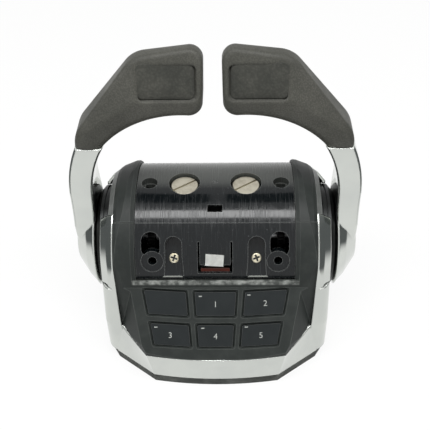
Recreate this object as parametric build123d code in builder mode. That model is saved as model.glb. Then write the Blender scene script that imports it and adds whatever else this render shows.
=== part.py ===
"""Twin-lever electronic throttle control head for a boat.

Frame: origin on the dash face under the lever axis, +Z up, +X to the right
hand of the operator, who stands on the -Y side. Millimetres throughout.
"""
from build123d import *
import math
import os

os.makedirs("parts", exist_ok=True)

# ---------------------------------------------------------------- driving sizes
pivot_height = 65.0        # lever axis above the dash
cover_gap = 0.3            # between neighbouring trim pieces
running_clearance = 0.05   # radial, shaft in bush
seat_clearance = 0.02      # radial, pieces pushed into a hole of their own body

# casing
barrel_radius = 54.0       # matte outer bands round the lever axis
crest_y, crest_z = 8.0, 8.0      # centre of the flatter rear crest, from the lever axis
crown_drop = 7.0                 # how far the crown's own axis lies under the lever axis
crown_flat_x, crown_flat_radius = 50.3, 62.8     # where the barrel's shoulder starts
crown_steps = 4                  # conical steps that the shoulder is turned in
center_radius = 51.0       # gloss inner housing, set below the bands
center_half = 55.1         # half width of the gloss housing
cover_wall = 2.4
bevel_width, bevel_depth = 2.6, 1.5      # lit edge of the matte bands beside the gloss housing
parting_angle = 53.0       # parting line above the front horizontal
center_rear_angle = 150.0  # rear end of the gloss housing
lip_y, lip_z = -54.0, 68.4       # top edge of the key panel
lip_top_angle = 7.0              # top of the lip, above the front horizontal
nose_y, nose_z = -90.2, 31.2     # bottom edge of the key panel
rear_y = 50.0
zone_low, zone_high = 67.3, 70.2     # half width of the matte covers, low and high
zone_low_z, zone_high_z = 35.7, 83.0
rail_front_z, rail_z = 31.0, 36.0    # top edge of the chrome, front and sides

# chrome body
chrome_wall = 2.2
cheek_outer = 80.5
cheek_round = 11.0
cheek_front_y = -63.5
gasket_height = 8.0
gasket_inset = 1.0
gasket_wall = 7.0
cap_angle = 60.0           # where the end cap starts, above the front horizontal
cap_outer = 74.0

# base plate
plate_thickness = 4.0
bolt_x, bolt_y = 52.0, 36.0
bolt_radius = 2.75
harness_x, harness_y = 60.0, 16.0
harness_center_y = 31.0

# levers
shaft_radius = 6.0
shaft_inner_x, shaft_outer_x = 3.0, 94.0
hub_inner_x, hub_rim_x, hub_outer_x = 84.0, 86.5, 101.4
hub_slope_x, hub_slope_radius, hub_nose_radius = 93.0, 29.4, 17.0
hub_radius = 36.4
neck_radius = 38.3
neck_inner_x, neck_step, neck_groove = 71.5, 3.3, 1.2   # ringed neck between cap and hub
lever_foot_y, lever_foot_z = -20.0, 27.0     # where the arm's front face meets the rim
grip_joint = 87.0          # bottom of the grip over the lever axis
grip_outer_x, grip_inner_x, grip_end_x = 93.6, 74.4, 6.5
grip_front_y, grip_depth, grip_thickness = -8.8, 21.0, 28.0
grip_round, lean_round = 6.0, 4.0
crease_x, crease_z = 50.0, 123.5       # where the grip's crease bends down, from the lever axis
pad_lean, slope_lean, slope_fall = 30.0, 35.0, 33.7
pad_left, pad_right, pad_bottom, pad_top = 10.2, 47.6, 1.2, 23.4    # recess on the leaning face
pad_depth, pad_groove = 2.0, 1.2
core_size = 11.0

# mechanism, distances along the shaft from the middle of the head
drum_x, drum_width, drum_radius = 21.7, 10.0, 14.0
wheel_x, wheel_width, wheel_radius = 36.5, 5.0, 22.0
gear_x, gear_width = 47.5, 5.0
gear_module, gear_teeth, pinion_teeth = 1.0, 32, 16
frame_x, frame_thickness = 60.5, 5.0
bush_radius, bush_flange_radius, bush_flange = 9.0, 12.0, 1.5
block_half = 9.0
bridge_height, bridge_thickness = 33.0, 4.0        # height over the lever axis

detent_angles = (0.0, 12.0, -12.0)    # neutral, forward and reverse gates
roller_radius = 3.5
roller_z = pivot_height - wheel_radius - 0.3 - roller_radius
roller_width = 5.0
plunger_size = 10.0
pinion_shaft = 2.5

# friction adjusters
adjuster_x = drum_x
shoe_height = 7.0
adjuster_radius, adjuster_bore = 9.8, 11.0
adjuster_sink = 2.2        # top of the disc under the housing's crown
adjuster_stem = 5.0

# openings of the gloss housing; angles are above the front horizontal
screw_axis_angle = 45.0
screw_floor = 41.7         # flat floor of the screw slots, over the lever axis
screw_v = -14.3            # screw centre down that floor
screw_head, screw_shank = 3.1, 1.5
slot_x, slot_half, slot_foot_half = 28.6, 5.9, 7.6
slot_round_v, slot_screw_v = -8.1, -17.0
keyhole_x, keyhole_half, keyhole_length, keyhole_angle = 44.3, 6.5, 18.0, 36.0
boss_x, boss_radius, boss_angle = 43.4, 7.2, 22.5
tongue_half = 10.6
side_hole_x, side_hole_radius = 46.4, 5.7

# keys
key_rows = ((5.0, 21.4), (28.0, 42.6))   # top and bottom of each row, down the panel
key_lean = 1.65            # how much higher the outer keys' outer ends stand
key_corner = 1.2
key_bevel = 1.4
key_travel = 1.2
key_gap = 0.35
key_sink = 0.3             # key face under the panel
key_flange = 1.5           # how far a key's flange reaches under the cover
flange_thickness = 1.4
mat_thickness = 2.0
panel_slope = math.degrees(math.atan2(lip_z - nose_z, lip_y - nose_y))

# ---------------------------------------------------------------- shared frames
axis_right = Plane(origin=(0, 0, pivot_height), x_dir=(0, 1, 0), z_dir=(1, 0, 0))
panel_plane = Plane(
    origin=(0, lip_y, lip_z),
    x_dir=(1, 0, 0),
    z_dir=(0, -math.sin(math.radians(panel_slope)), math.cos(math.radians(panel_slope))),
)


def on_barrel(x, angle, radius):
    """Plane standing on the barrel at x and angle above the front horizontal."""
    a = math.radians(angle)
    return Plane(
        origin=(x, -radius * math.cos(a), pivot_height + radius * math.sin(a)),
        x_dir=(1, 0, 0),
        z_dir=(0, -math.cos(a), math.sin(a)),
    )


def ray_point(angle, radius):
    """(Y, Z) at an angle above the front horizontal, round the lever axis."""
    a = math.radians(angle)
    return (-radius * math.cos(a), pivot_height + radius * math.sin(a))


def save(piece, name):
    """Label a finished piece and write its STEP file."""
    piece.label = name
    export_step(piece, f"parts/{name}.step")


def save_pair(piece, name):
    """Write a right-hand piece and its mirror image on the left."""
    save(piece, name + "_right")
    save(mirror(piece, about=Plane.YZ), name + "_left")


# ---------------------------------------------------------------- outlines
def barrel_section(radius):
    """Side outline of the barrel: a circle round the lever axis, flattened behind its crest."""
    with BuildSketch(Plane.YZ) as outline:
        with Locations((0, pivot_height)):
            Circle(radius)
        with Locations((crest_y, pivot_height + crest_z)):
            Circle(radius - crest_z)
        make_hull()
    return outline.sketch


def crown(inset=0.0):
    """Domed solid that rounds the barrel's shoulders above the lever axis, and all below it."""
    with BuildSketch(Plane.XY.offset(pivot_height - crown_drop)) as dome_side:
        with BuildLine():
            top = crown_flat_radius - inset
            shoulder = ThreePointArc((crown_flat_x, top), (71 - 0.42 * inset, 56.7 - 0.91 * inset),
                                     (81 - 0.8 * inset, 46.6 - 0.6 * inset), mode=Mode.PRIVATE)
            steps = [shoulder @ (step / crown_steps) for step in range(crown_steps + 1)]
            Polyline((0, 0), (0, top), *steps, (96, 22), (96, 0), close=True)
        make_face()
    right = revolve(dome_side.sketch, axis=Axis((0, 0, pivot_height - crown_drop), (1, 0, 0)))
    with BuildSketch(Plane.XY.offset(-10)) as below:
        Rectangle(300, 300)
    return right + mirror(right, about=Plane.YZ) + extrude(below.sketch, pivot_height + 10)


def casing_section(inset=0.0):
    """Side outline of the casing: the barrel, the sloping key panel and the rear."""
    slope = math.radians(panel_slope)
    lip = (lip_y + inset * math.sin(slope), lip_z - inset * math.cos(slope))
    nose = (nose_y + inset, nose_z - inset * math.tan(slope / 2))
    with BuildSketch(Plane.YZ) as nose_side:
        with BuildLine():
            Polyline((0, pivot_height + 30), lip, nose, (nose_y + inset, gasket_height), (0, gasket_height),
                     close=True)
        make_face()
    return nose_side.sketch + cheek_section(inset)


def cover_zone(grow=0.0, length=120.0):
    """Front view of what the matte covers fill, wider towards the top."""
    with BuildSketch(Plane.XZ.offset(-length)) as zone:
        with BuildLine():
            Polyline(
                (-zone_low - grow, rail_front_z - 8), (-zone_low - grow, zone_low_z),
                (-zone_high - grow, zone_high_z), (-zone_high - grow, 140),
                (zone_high + grow, 140), (zone_high + grow, zone_high_z),
                (zone_low + grow, zone_low_z), (zone_low + grow, rail_front_z - 8), close=True,
            )
        make_face()
    return extrude(zone.sketch, 2 * length)


def above_rail(drop=0.0):
    """Everything above the chrome's top edge, which climbs from the nose to the sides."""
    with BuildSketch(Plane.YZ) as side:
        with BuildLine():
            Polyline(
                (-110, rail_front_z - 3.4 - drop), (-63, rail_z - drop), (110, rail_z - drop),
                (110, 150), (-110, 150), close=True,
            )
        make_face()
    return extrude(side.sketch, 120, both=True)


def side_facet(shift=0.0):
    """Wedge that the casing's right shoulder loses, both faces moved inwards by shift."""
    steep = Plane(origin=(57.7, -56.3, 70.7), z_dir=(0.795, -0.532, 0.290)).offset(-shift)
    flat = Plane(origin=(57.7, -56.3, 70.7), z_dir=(0.252, -0.947, 0.200)).offset(-shift)
    with BuildSketch(steep) as steep_face:
        Rectangle(300, 300)
    with BuildSketch(flat) as flat_face:
        Rectangle(300, 300)
    return extrude(steep_face.sketch, 80) & extrude(flat_face.sketch, 80)


def base_outline(inset=0.0):
    """Plan of the foot: an octagon with a slightly bowed front."""
    with BuildSketch(Plane.XY) as plan:
        with BuildLine():
            ThreePointArc((-44.5, -85.3), (0, -89), (44.5, -85.3))
            Polyline(
                (44.5, -85.3), (73.5, -63.5), (cheek_outer, -52), (cheek_outer, 40), (73.5, rear_y),
                (-73.5, rear_y), (-cheek_outer, 40), (-cheek_outer, -52), (-73.5, -63.5), (-44.5, -85.3),
            )
        make_face()
        if inset:
            offset(amount=-inset, kind=Kind.INTERSECTION)
    return plan.sketch


def nose_outline(front_y, front_x, side_x, inset):
    """One plan section of the chrome nose."""
    with BuildSketch() as plan:
        with BuildLine():
            ThreePointArc((-front_x, front_y + 3.9), (0, front_y), (front_x, front_y + 3.9))
            Polyline(
                (front_x, front_y + 3.9), (side_x, -63.3), (side_x, -40), (-side_x, -40),
                (-side_x, -63.3), (-front_x, front_y + 3.9),
            )
        make_face()
        if inset:
            offset(amount=-inset, kind=Kind.INTERSECTION)
    return plan.sketch


def cheek_section(inset=0.0):
    """Side outline of a chrome cheek: the barrel's circle run down to the foot."""
    depth, height = rear_y - cheek_front_y - 2 * inset, rail_z - gasket_height - inset
    with BuildSketch(Plane.YZ) as section:
        with Locations((0, pivot_height)):
            Circle(barrel_radius - inset)
        with Locations((crest_y, pivot_height + crest_z)):
            Circle(barrel_radius - crest_z - inset)
        with Locations(((cheek_front_y + rear_y) / 2, gasket_height + height / 2)):
            Rectangle(depth, height)
        make_hull()
    return section.sketch


def chrome_form(inset=0.0, overrun=0.0):
    """Solid form of the chrome body, or of its hollow when inset."""
    low, high = gasket_height - overrun, 40.0 + overrun
    nose = loft([
        Plane.XY.offset(low) * nose_outline(-89.0, 44.5, 73.5, inset),
        Plane.XY.offset(high) * nose_outline(-91.4, 49.4, 66.6, inset),
    ], ruled=True)
    cheeks = extrude(cheek_section(inset), cheek_outer - inset, both=True)
    ends = cheeks.faces().sort_by(Axis.X)
    rims = ends[0].edges().sort_by(Axis.Z)[1:] + ends[-1].edges().sort_by(Axis.Z)[1:]
    if overrun:
        cheeks = chamfer(rims, cheek_round - 2 * inset + 0.4) & crown(inset)
        foot = extrude(Plane.XY.offset(low) * base_outline(inset + 1.5), gasket_height + 20)
        return nose + cheeks + foot
    return nose + (fillet(rims, cheek_round) & crown())


def cover_form(inset=0.0):
    """Solid form of the matte covers, or of their hollow when inset."""
    with BuildSketch(Plane.XY) as plan:
        with BuildLine():
            ThreePointArc((-48.6, -86.7), (0, -90.6), (48.6, -86.7))
            Polyline((48.6, -86.7), (67.3, -63.4), (90, -63.4), (90, 60), (-90, 60), (-90, -63.4),
                     (-67.3, -63.4), (-48.6, -86.7))
        make_face()
        if inset:
            offset(amount=-inset, kind=Kind.INTERSECTION)
    form = extrude(casing_section(inset), 100, both=True) & cover_zone(-inset)
    form = form & extrude(plan.sketch, 150) & crown(inset)
    facet = side_facet(inset)
    return form - facet - mirror(facet, about=Plane.YZ)


def sector(angle_from, angle_to, reach, half_width):
    """Wedge round the lever axis between two angles above the front horizontal."""
    middle = (angle_from + angle_to) / 2
    far = reach / math.cos(math.radians((angle_to - angle_from) / 4))
    with BuildSketch(Plane.YZ) as wedge:
        with BuildLine():
            Polyline(
                (0, pivot_height), ray_point(angle_from, far), ray_point((angle_from + middle) / 2, far),
                ray_point(middle, far), ray_point((angle_to + middle) / 2, far),
                ray_point(angle_to, far), close=True,
            )
        make_face()
    return extrude(wedge.sketch, half_width, both=True)


def disc(x_from, x_to, radius):
    """Disc round the lever axis."""
    with BuildSketch(axis_right.offset(x_from)) as face:
        Circle(radius)
    return extrude(face.sketch, x_to - x_from)


def front_half(gap=0.0):
    """What lies in front of the parting line."""
    a = math.radians(parting_angle)
    shift = gap / math.sin(a)
    with BuildSketch(Plane.YZ) as side:
        with BuildLine():
            Polyline((-shift, pivot_height), (-shift - 150 * math.cos(a), pivot_height + 150 * math.sin(a)),
                     (-200, 200), (-200, -10), (-shift, -10), close=True)
        make_face()
    return extrude(side.sketch, 100, both=True)


# ---------------------------------------------------------------- foot
with BuildPart() as base_gasket:
    with BuildSketch():
        add(base_outline(gasket_inset))
        add(base_outline(gasket_inset + gasket_wall), mode=Mode.SUBTRACT)
    extrude(amount=gasket_height)
save(base_gasket.part, "base_gasket")

with BuildPart() as base_plate:
    with BuildSketch():
        add(base_outline(gasket_inset + gasket_wall + cover_gap))
        with GridLocations(2 * bolt_x, 2 * bolt_y, 2, 2):
            Circle(bolt_radius, mode=Mode.SUBTRACT)
        with Locations((0, harness_center_y)):
            RectangleRounded(harness_x, harness_y, 4, mode=Mode.SUBTRACT)
    extrude(amount=plate_thickness)
save(base_plate.part, "base_plate")

chrome_outer = chrome_form()
chrome_hollow = chrome_form(chrome_wall, overrun=1.0)
cover_seat = cover_zone(cover_gap) & above_rail(cover_gap)
cap_seat = sector(cap_angle, 180 - cap_angle, 80, 90)
neck_hole = disc(-90, 90, neck_radius + cover_gap + 0.4)
with BuildPart() as chrome_body:
    add(chrome_outer)
    add(chrome_hollow, mode=Mode.SUBTRACT)
    add(cover_seat, mode=Mode.SUBTRACT)
    add(cap_seat, mode=Mode.SUBTRACT)
    add(neck_hole, mode=Mode.SUBTRACT)
save(chrome_body.part, "chrome_body")

cap_sector = sector(cap_angle + 0.4, 179.6 - cap_angle, 80, 90)     # a gap of 0.4 degrees each end
cap_shell = extrude(cheek_section(), cap_outer, both=True) & crown()
cap_room = extrude(cheek_section(cover_wall), cap_outer - cover_wall, both=True) & crown(cover_wall)
cap_side = disc(zone_high + cover_gap, 90, 100)
with BuildPart() as end_cap:
    add((((cap_shell - cap_room) & cap_sector) & cap_side) - neck_hole)
save_pair(end_cap.part, "end_cap")

# ---------------------------------------------------------------- matte covers


def band_bevel():
    """What the lit bevel takes off the right band's inner edge."""
    inner, outer = center_half, center_half + cover_gap + bevel_width
    barrel = loft([Pos(inner, 0, 0) * barrel_section(barrel_radius - bevel_depth),
                   Pos(outer, 0, 0) * barrel_section(barrel_radius)])
    return (disc(inner, outer, 90) & sector(lip_top_angle, center_rear_angle, 70, outer)) - barrel


center_opening = sector(lip_top_angle, center_rear_angle, 70, center_half + cover_gap)
side_opening = disc(-90, 90, barrel_radius - 10)
cover_shell = (cover_form() & above_rail()) - cover_form(cover_wall) - side_opening - center_opening
cover_shell = cover_shell - band_bevel() - mirror(band_bevel(), about=Plane.YZ)


def center_key(s):
    """Half width of a middle key, s down the panel."""
    return 14.8 - 0.075 * s


def inner_key(s):
    """Inner edge of an outer key, s down the panel."""
    return 21.2 - 0.086 * s


def outer_key(s):
    """Outer edge of an outer key, s down the panel."""
    return 50.8 - 0.195 * s


def key_outline(row, column, grow=0.0, depth=0.0):
    """One key's cap on the panel: the rows fan out upwards and the outer keys lean."""
    top, bottom = key_rows[row]
    if column == 0:
        corners = [(-center_key(top), top), (center_key(top), top),
                   (center_key(bottom), bottom), (-center_key(bottom), bottom)]
    else:
        corners = [(inner_key(top), top), (outer_key(top), top - key_lean),
                   (outer_key(bottom), bottom - key_lean), (inner_key(bottom), bottom)]
        corners = [(column * x, s) for x, s in corners]
    with BuildSketch(panel_plane.offset(-depth)) as outline:
        with BuildLine():
            Polyline(*[(x, -s) for x, s in corners], close=True)
        make_face()
        offset(amount=grow - key_corner, kind=Kind.INTERSECTION)
        offset(amount=key_corner, kind=Kind.ARC)
    return outline.sketch


key_places = [(row, column) for row in (0, 1) for column in (-1, 0, 1)]
key_holes = [extrude(key_outline(r, c, key_gap), 8, both=True) for r, c in key_places]
key_bevels = [
    loft([key_outline(r, c, key_gap + key_bevel), key_outline(r, c, key_gap, depth=key_bevel)])
    for r, c in key_places
]
mat_depth = cover_wall + cover_gap + flange_thickness + key_travel + 0.3
post_places = [(17.4, -24.7), (-17.4, -24.7)]
with BuildPart() as board_posts:
    with BuildSketch(panel_plane.offset(-cover_wall / 2)):
        with Locations(*post_places):
            Circle(1.8)
    extrude(amount=-(mat_depth + mat_thickness - cover_wall / 2))
front_blank = (cover_shell & front_half(cover_gap / 2)) + board_posts.part
upper_blank = cover_shell - front_half(-cover_gap / 2)

with BuildPart() as front_cover:
    add(front_blank)
    for cutter in key_holes + key_bevels:
        add(cutter, mode=Mode.SUBTRACT)
save(front_cover.part, "front_cover")

with BuildPart() as upper_cover:
    add(upper_blank)
save(upper_cover.part, "upper_cover")

# ---------------------------------------------------------------- gloss inner housing
housing_outer = extrude(barrel_section(center_radius), center_half, both=True)
housing_inner = extrude(barrel_section(center_radius - cover_wall), center_half - 2, both=True)
end_openings = disc(-90, 90, center_radius - 12)
upper_sector = sector(parting_angle + 0.15, center_rear_angle - 0.4, 80, 70)
lower_sector = sector(lip_top_angle + 0.4, parting_angle - 0.15, 80, 70)
housing_shell = housing_outer - housing_inner - end_openings


def screw_slot_outline(w, grow):
    """Slot over a cover screw, drawn square to the screw axis at height w over the lever axis."""
    with BuildSketch(Plane(origin=ray_origin(screw_axis_angle, w), x_dir=(1, 0, 0),
                           z_dir=ray_direction(screw_axis_angle))) as outline:
        with BuildLine():
            Line((-slot_half - grow, slot_round_v), (-slot_half - grow, slot_screw_v))
            Line((-slot_half - grow, slot_screw_v), (-slot_foot_half - grow, -40))
            Line((-slot_foot_half - grow, -40), (slot_foot_half + grow, -40))
            Line((slot_foot_half + grow, -40), (slot_half + grow, slot_screw_v))
            Line((slot_half + grow, slot_screw_v), (slot_half + grow, slot_round_v))
            ThreePointArc((slot_half + grow, slot_round_v), (0, slot_round_v + slot_half + grow),
                          (-slot_half - grow, slot_round_v))
        make_face()
    return outline.sketch


def ray_direction(angle):
    """Unit vector away from the lever axis."""
    a = math.radians(angle)
    return (0, -math.cos(a), math.sin(a))


def ray_origin(angle, radius):
    """Point on a ray from the lever axis, in the middle plane."""
    y, z = ray_point(angle, radius)
    return (0, y, z)


def at_sides(piece, x):
    """The piece at +x and at -x."""
    return [piece.moved(Location((side * x, 0, 0))) for side in (1, -1)]


slot_block = extrude(screw_slot_outline(screw_floor - cover_wall, cover_wall - 0.6), 20)
slot_block = slot_block & disc(-center_half, center_half, center_radius) & lower_sector
slot_pocket = extrude(screw_slot_outline(screw_floor, 0), 20)
with BuildPart() as screw_bore:
    with BuildSketch(Plane(origin=ray_origin(screw_axis_angle, screw_floor + 1), x_dir=(1, 0, 0),
                           z_dir=ray_direction(screw_axis_angle))):
        with Locations((0, screw_v)):
            Circle(screw_shank + 0.3)
    extrude(amount=-10)

with BuildPart() as keyhole_cut:
    with BuildSketch(on_barrel(0, keyhole_angle, center_radius - 8)):
        SlotOverall(keyhole_length, 2 * keyhole_half, rotation=90)
    extrude(amount=14)
with BuildPart() as boss_recess:
    with BuildSketch(on_barrel(0, boss_angle, center_radius - 1.6)):
        Circle(boss_radius + 0.6)
    extrude(amount=6)
with BuildPart() as boss_post:
    with BuildSketch(on_barrel(0, boss_angle, center_radius - 1.6)):
        Circle(boss_radius)
    extrude(amount=-6)
with BuildPart() as boss_hole:
    with BuildSketch(on_barrel(0, boss_angle, center_radius + 2)):
        Circle(3.0)
    extrude(amount=-12)
with BuildPart() as tongue_cuts:
    with BuildSketch(on_barrel(0, 28.6, center_radius - 6)):
        with Locations((tongue_half + 0.7, 0), (-tongue_half - 0.7, 0)):
            Rectangle(1.4, 17.5)
    extrude(amount=12)
    with BuildSketch(on_barrel(0, 16.0, center_radius - 6)):
        Rectangle(2 * tongue_half + 2.8, 6.4)
    extrude(amount=12)

with BuildPart() as center_lower:
    add(housing_shell)
    add(lower_sector, mode=Mode.INTERSECT)
    for block in at_sides(slot_block, slot_x) + at_sides(boss_post.part, boss_x):
        add(block)
    for cutter in (at_sides(slot_pocket, slot_x) + at_sides(screw_bore.part, slot_x)
                   + at_sides(keyhole_cut.part, keyhole_x) + at_sides(boss_recess.part, boss_x)):
        add(cutter, mode=Mode.SUBTRACT)
    for block in at_sides(boss_post.part, boss_x):
        add(block)
    for cutter in at_sides(boss_hole.part, boss_x) + [tongue_cuts.part]:
        add(cutter, mode=Mode.SUBTRACT)
save(center_lower.part, "center_lower")

well_top = pivot_height + center_radius
with BuildPart() as adjuster_well:
    with BuildSketch(Plane.XY.offset(well_top - 9)):
        Circle(adjuster_bore + 1.8)
    extrude(amount=12)
with BuildPart() as adjuster_hole:
    with BuildSketch(Plane.XY.offset(well_top - 12)):
        Circle(adjuster_bore)
    extrude(amount=20)
with BuildPart() as side_well:
    with BuildSketch(Plane.XY.offset(well_top - 8)):
        Circle(side_hole_radius + 1.6)
    extrude(amount=10)
with BuildPart() as side_hole:
    with BuildSketch(Plane.XY.offset(well_top - 5)):
        Circle(side_hole_radius)
    extrude(amount=20)
    with BuildSketch(Plane.XY.offset(well_top - 12)):
        with Locations((0, 2)):
            Rectangle(7, 5)
    extrude(amount=12)

wells = at_sides(adjuster_well.part, adjuster_x) + at_sides(side_well.part, side_hole_x)
wells = [well & housing_outer for well in wells]
with BuildPart() as center_upper:
    add(housing_shell)
    add(upper_sector, mode=Mode.INTERSECT)
    for block in wells:
        add(block)
    for cutter in at_sides(adjuster_hole.part, adjuster_x) + at_sides(side_hole.part, side_hole_x):
        add(cutter, mode=Mode.SUBTRACT)
    with BuildSketch(on_barrel(0, 64.6, center_radius - 6)):
        Rectangle(10.5, 5.3)
    extrude(amount=12, mode=Mode.SUBTRACT)
    with BuildSketch(on_barrel(0, 91, center_radius - 0.4)):
        Circle(1.75)
        Circle(0.7, mode=Mode.SUBTRACT)
    extrude(amount=3, mode=Mode.SUBTRACT)
save(center_upper.part, "center_upper")

with BuildPart() as latch_strip:
    with BuildSketch(on_barrel(0, 13.4, center_radius - cover_wall - 1.3)):
        RectangleRounded(2 * tongue_half - 1, 2.6, 0.6)
    extrude(amount=0.8)
save(latch_strip.part, "latch_strip")

screw_seat = Plane(origin=ray_origin(screw_axis_angle, screw_floor), x_dir=(1, 0, 0),
                   z_dir=ray_direction(screw_axis_angle))
with BuildPart() as cover_screws:
    with BuildSketch(screw_seat):
        with Locations((slot_x, screw_v), (-slot_x, screw_v)):
            Circle(screw_head)
    extrude(amount=2.0)
    with BuildSketch(screw_seat.offset(1.0)):
        with Locations((slot_x, screw_v), (-slot_x, screw_v)):
            Rectangle(3.4, 0.8)
            Rectangle(0.8, 3.4)
    extrude(amount=2, mode=Mode.SUBTRACT)
    with BuildSketch(screw_seat):
        with Locations((slot_x, screw_v), (-slot_x, screw_v)):
            Circle(screw_shank)
    extrude(amount=-8)
save(cover_screws.part, "cover_screws")

# ---------------------------------------------------------------- keys
for number, (r, c) in enumerate(key_places, start=1):
    cap_face = key_outline(r, c, 0.0, depth=key_sink)
    flange_face = key_outline(r, c, key_flange, depth=cover_wall + cover_gap)
    with BuildPart() as key:
        extrude(cap_face, amount=cover_wall + cover_gap + 1 - key_sink, dir=-panel_plane.z_dir)
        extrude(flange_face, amount=flange_thickness, dir=-panel_plane.z_dir)
    save(key.part, f"key_{number}")

with BuildPart() as key_mat:
    with BuildSketch(panel_plane.offset(-mat_depth)):
        with Locations((0, -24.5)):
            RectangleRounded(92, 38, 2)
        with Locations(*post_places):
            Circle(2.2, mode=Mode.SUBTRACT)
    extrude(amount=-mat_thickness)
save(key_mat.part, "key_mat")

with BuildPart() as key_board:
    with BuildSketch(panel_plane.offset(-mat_depth - mat_thickness)):
        with Locations((0, -24.5)):
            RectangleRounded(94, 38, 2)
    extrude(amount=-1.6)
save(key_board.part, "key_board")

# ---------------------------------------------------------------- chassis
with BuildPart() as side_frame:
    with BuildSketch(axis_right.offset(frame_x - frame_thickness / 2)):
        Circle(20)
        with Locations((0, bridge_height - 4)):
            Rectangle(18, 8)
        with Locations((0, plate_thickness + 2 - pivot_height)):
            Rectangle(56, 4)
        make_hull()
        Circle(bush_radius + seat_clearance, mode=Mode.SUBTRACT)
        with Locations((-14, -28), (14, -28)):
            Circle(6, mode=Mode.SUBTRACT)
    extrude(amount=frame_thickness)
    with BuildSketch(Plane.XY.offset(plate_thickness)):
        with Locations((frame_x - 8, 0)):
            Rectangle(16, 56)
        with Locations((frame_x - 10, -20), (frame_x - 10, 20)):
            Circle(2.1, mode=Mode.SUBTRACT)
    extrude(amount=4)
save_pair(side_frame.part, "side_frame")

with BuildPart() as center_block:
    with BuildSketch(axis_right.offset(-block_half)):
        Circle(14)
        with Locations((0, plate_thickness + 4 - pivot_height)):
            Rectangle(40, 8)
        with Locations((0, bridge_height - 4)):
            Rectangle(18, 8)
        make_hull()
    extrude(amount=2 * block_half)
    with BuildSketch(axis_right.offset(shaft_inner_x - 0.3)):
        Circle(shaft_radius + running_clearance)
    extrude(amount=block_half, mode=Mode.SUBTRACT)
    with BuildSketch(axis_right.offset(-shaft_inner_x + 0.3)):
        Circle(shaft_radius + running_clearance)
    extrude(amount=-block_half, mode=Mode.SUBTRACT)
save(center_block.part, "center_block")

with BuildPart() as bridge_plate:
    with BuildSketch(Plane.XY.offset(pivot_height + bridge_height)):
        RectangleRounded(2 * frame_x + frame_thickness, 18, 2)
        with Locations((adjuster_x, 0), (-adjuster_x, 0)):
            Circle(adjuster_stem + running_clearance, mode=Mode.SUBTRACT)
    extrude(amount=bridge_thickness)
save(bridge_plate.part, "bridge_plate")

with BuildPart() as shaft_bush:
    with BuildSketch(axis_right.offset(frame_x - frame_thickness / 2)):
        Circle(bush_radius)
    extrude(amount=frame_thickness)
    with BuildSketch(axis_right.offset(frame_x + frame_thickness / 2)):
        Circle(bush_flange_radius)
    extrude(amount=bush_flange)
    with BuildSketch(axis_right):
        Circle(shaft_radius + running_clearance)
    extrude(amount=90, mode=Mode.SUBTRACT)
save_pair(shaft_bush.part, "shaft_bush")

well_height = pivot_height + center_radius
disc_top = well_height - adjuster_sink
shoe_bottom = pivot_height + drum_radius + 0.3
with BuildPart() as adjuster_screw:
    with BuildSketch(Plane.XY.offset(disc_top - 4.5)):
        with Locations((adjuster_x, 0)):
            Circle(adjuster_radius)
    extrude(amount=4.5)
    chamfer(adjuster_screw.faces().sort_by(Axis.Z)[-1].edges(), 0.6)
    with BuildSketch(Plane.XY.offset(disc_top - 1.4)):
        with Locations(Location((adjuster_x, 0, 0), (0, 0, 36))):
            Rectangle(2 * adjuster_radius + 1, 1.5)
    extrude(amount=2, mode=Mode.SUBTRACT)
    with BuildSketch(Plane.XY.offset(disc_top - 4.5)):
        with Locations((adjuster_x, 0)):
            Circle(adjuster_stem)
    extrude(amount=-(disc_top - 4.5 - shoe_bottom - shoe_height - 0.3))
save(adjuster_screw.part, "adjuster_screw_right")
with BuildPart() as adjuster_screw_left:
    add(adjuster_screw.part.moved(Location((-2 * adjuster_x, 0, 0))))
save(adjuster_screw_left.part, "adjuster_screw_left")

with BuildPart() as friction_shoe:
    with BuildSketch(Plane.XY.offset(shoe_bottom - 3)):
        with Locations((adjuster_x, 0)):
            Rectangle(drum_width, 18)
    extrude(amount=shoe_height + 3)
    with BuildSketch(axis_right):
        Circle(drum_radius + 0.3)
    extrude(amount=60, mode=Mode.SUBTRACT)
save_pair(friction_shoe.part, "friction_shoe")

# ---------------------------------------------------------------- detent
with BuildPart() as detent_block:
    with BuildSketch(Plane.XY.offset(plate_thickness)):
        with Locations((wheel_x, 0)):
            Rectangle(16, 18)
            Rectangle(plunger_size, plunger_size, mode=Mode.SUBTRACT)
    extrude(amount=roller_z - 5 - plate_thickness)
save_pair(detent_block.part, "detent_block")

roller_axis = Plane(origin=(0, 0, roller_z), x_dir=(0, 1, 0), z_dir=(1, 0, 0))
with BuildPart() as detent_plunger:
    with BuildSketch(Plane.XY.offset(plate_thickness + 3)):
        with Locations((wheel_x, 0)):
            Rectangle(plunger_size - 2 * cover_gap, plunger_size - 2 * cover_gap)
    extrude(amount=roller_z - 2 - plate_thickness)
    with BuildSketch(roller_axis.offset(wheel_x - roller_width / 2 - cover_gap)):
        SlotOverall(4 * roller_radius, 2 * (roller_radius + cover_gap), rotation=90)
    extrude(amount=roller_width + 2 * cover_gap, mode=Mode.SUBTRACT)
save_pair(detent_plunger.part, "detent_plunger")

with BuildPart() as detent_roller:
    with BuildSketch(roller_axis.offset(wheel_x - roller_width / 2)):
        Circle(roller_radius)
    extrude(amount=roller_width)
save_pair(detent_roller.part, "detent_roller")


# ---------------------------------------------------------------- lever
def gear_outline(teeth, phase):
    """Straight-flanked gear outline, tooth on the local x axis when phase is 0."""
    pitch = gear_module * teeth / 2
    points = []
    for tooth in range(teeth):
        middle = 2 * math.pi * (tooth + phase) / teeth
        for height, half in ((-1.2, 1.02), (0.85, 0.34)):
            points.append((pitch + height, middle - half / (pitch + height)))
        for height, half in ((0.85, 0.34), (-1.2, 1.02)):
            points.append((pitch + height, middle + half / (pitch + height)))
    return [(r * math.cos(a), r * math.sin(a)) for r, a in points]


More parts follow.
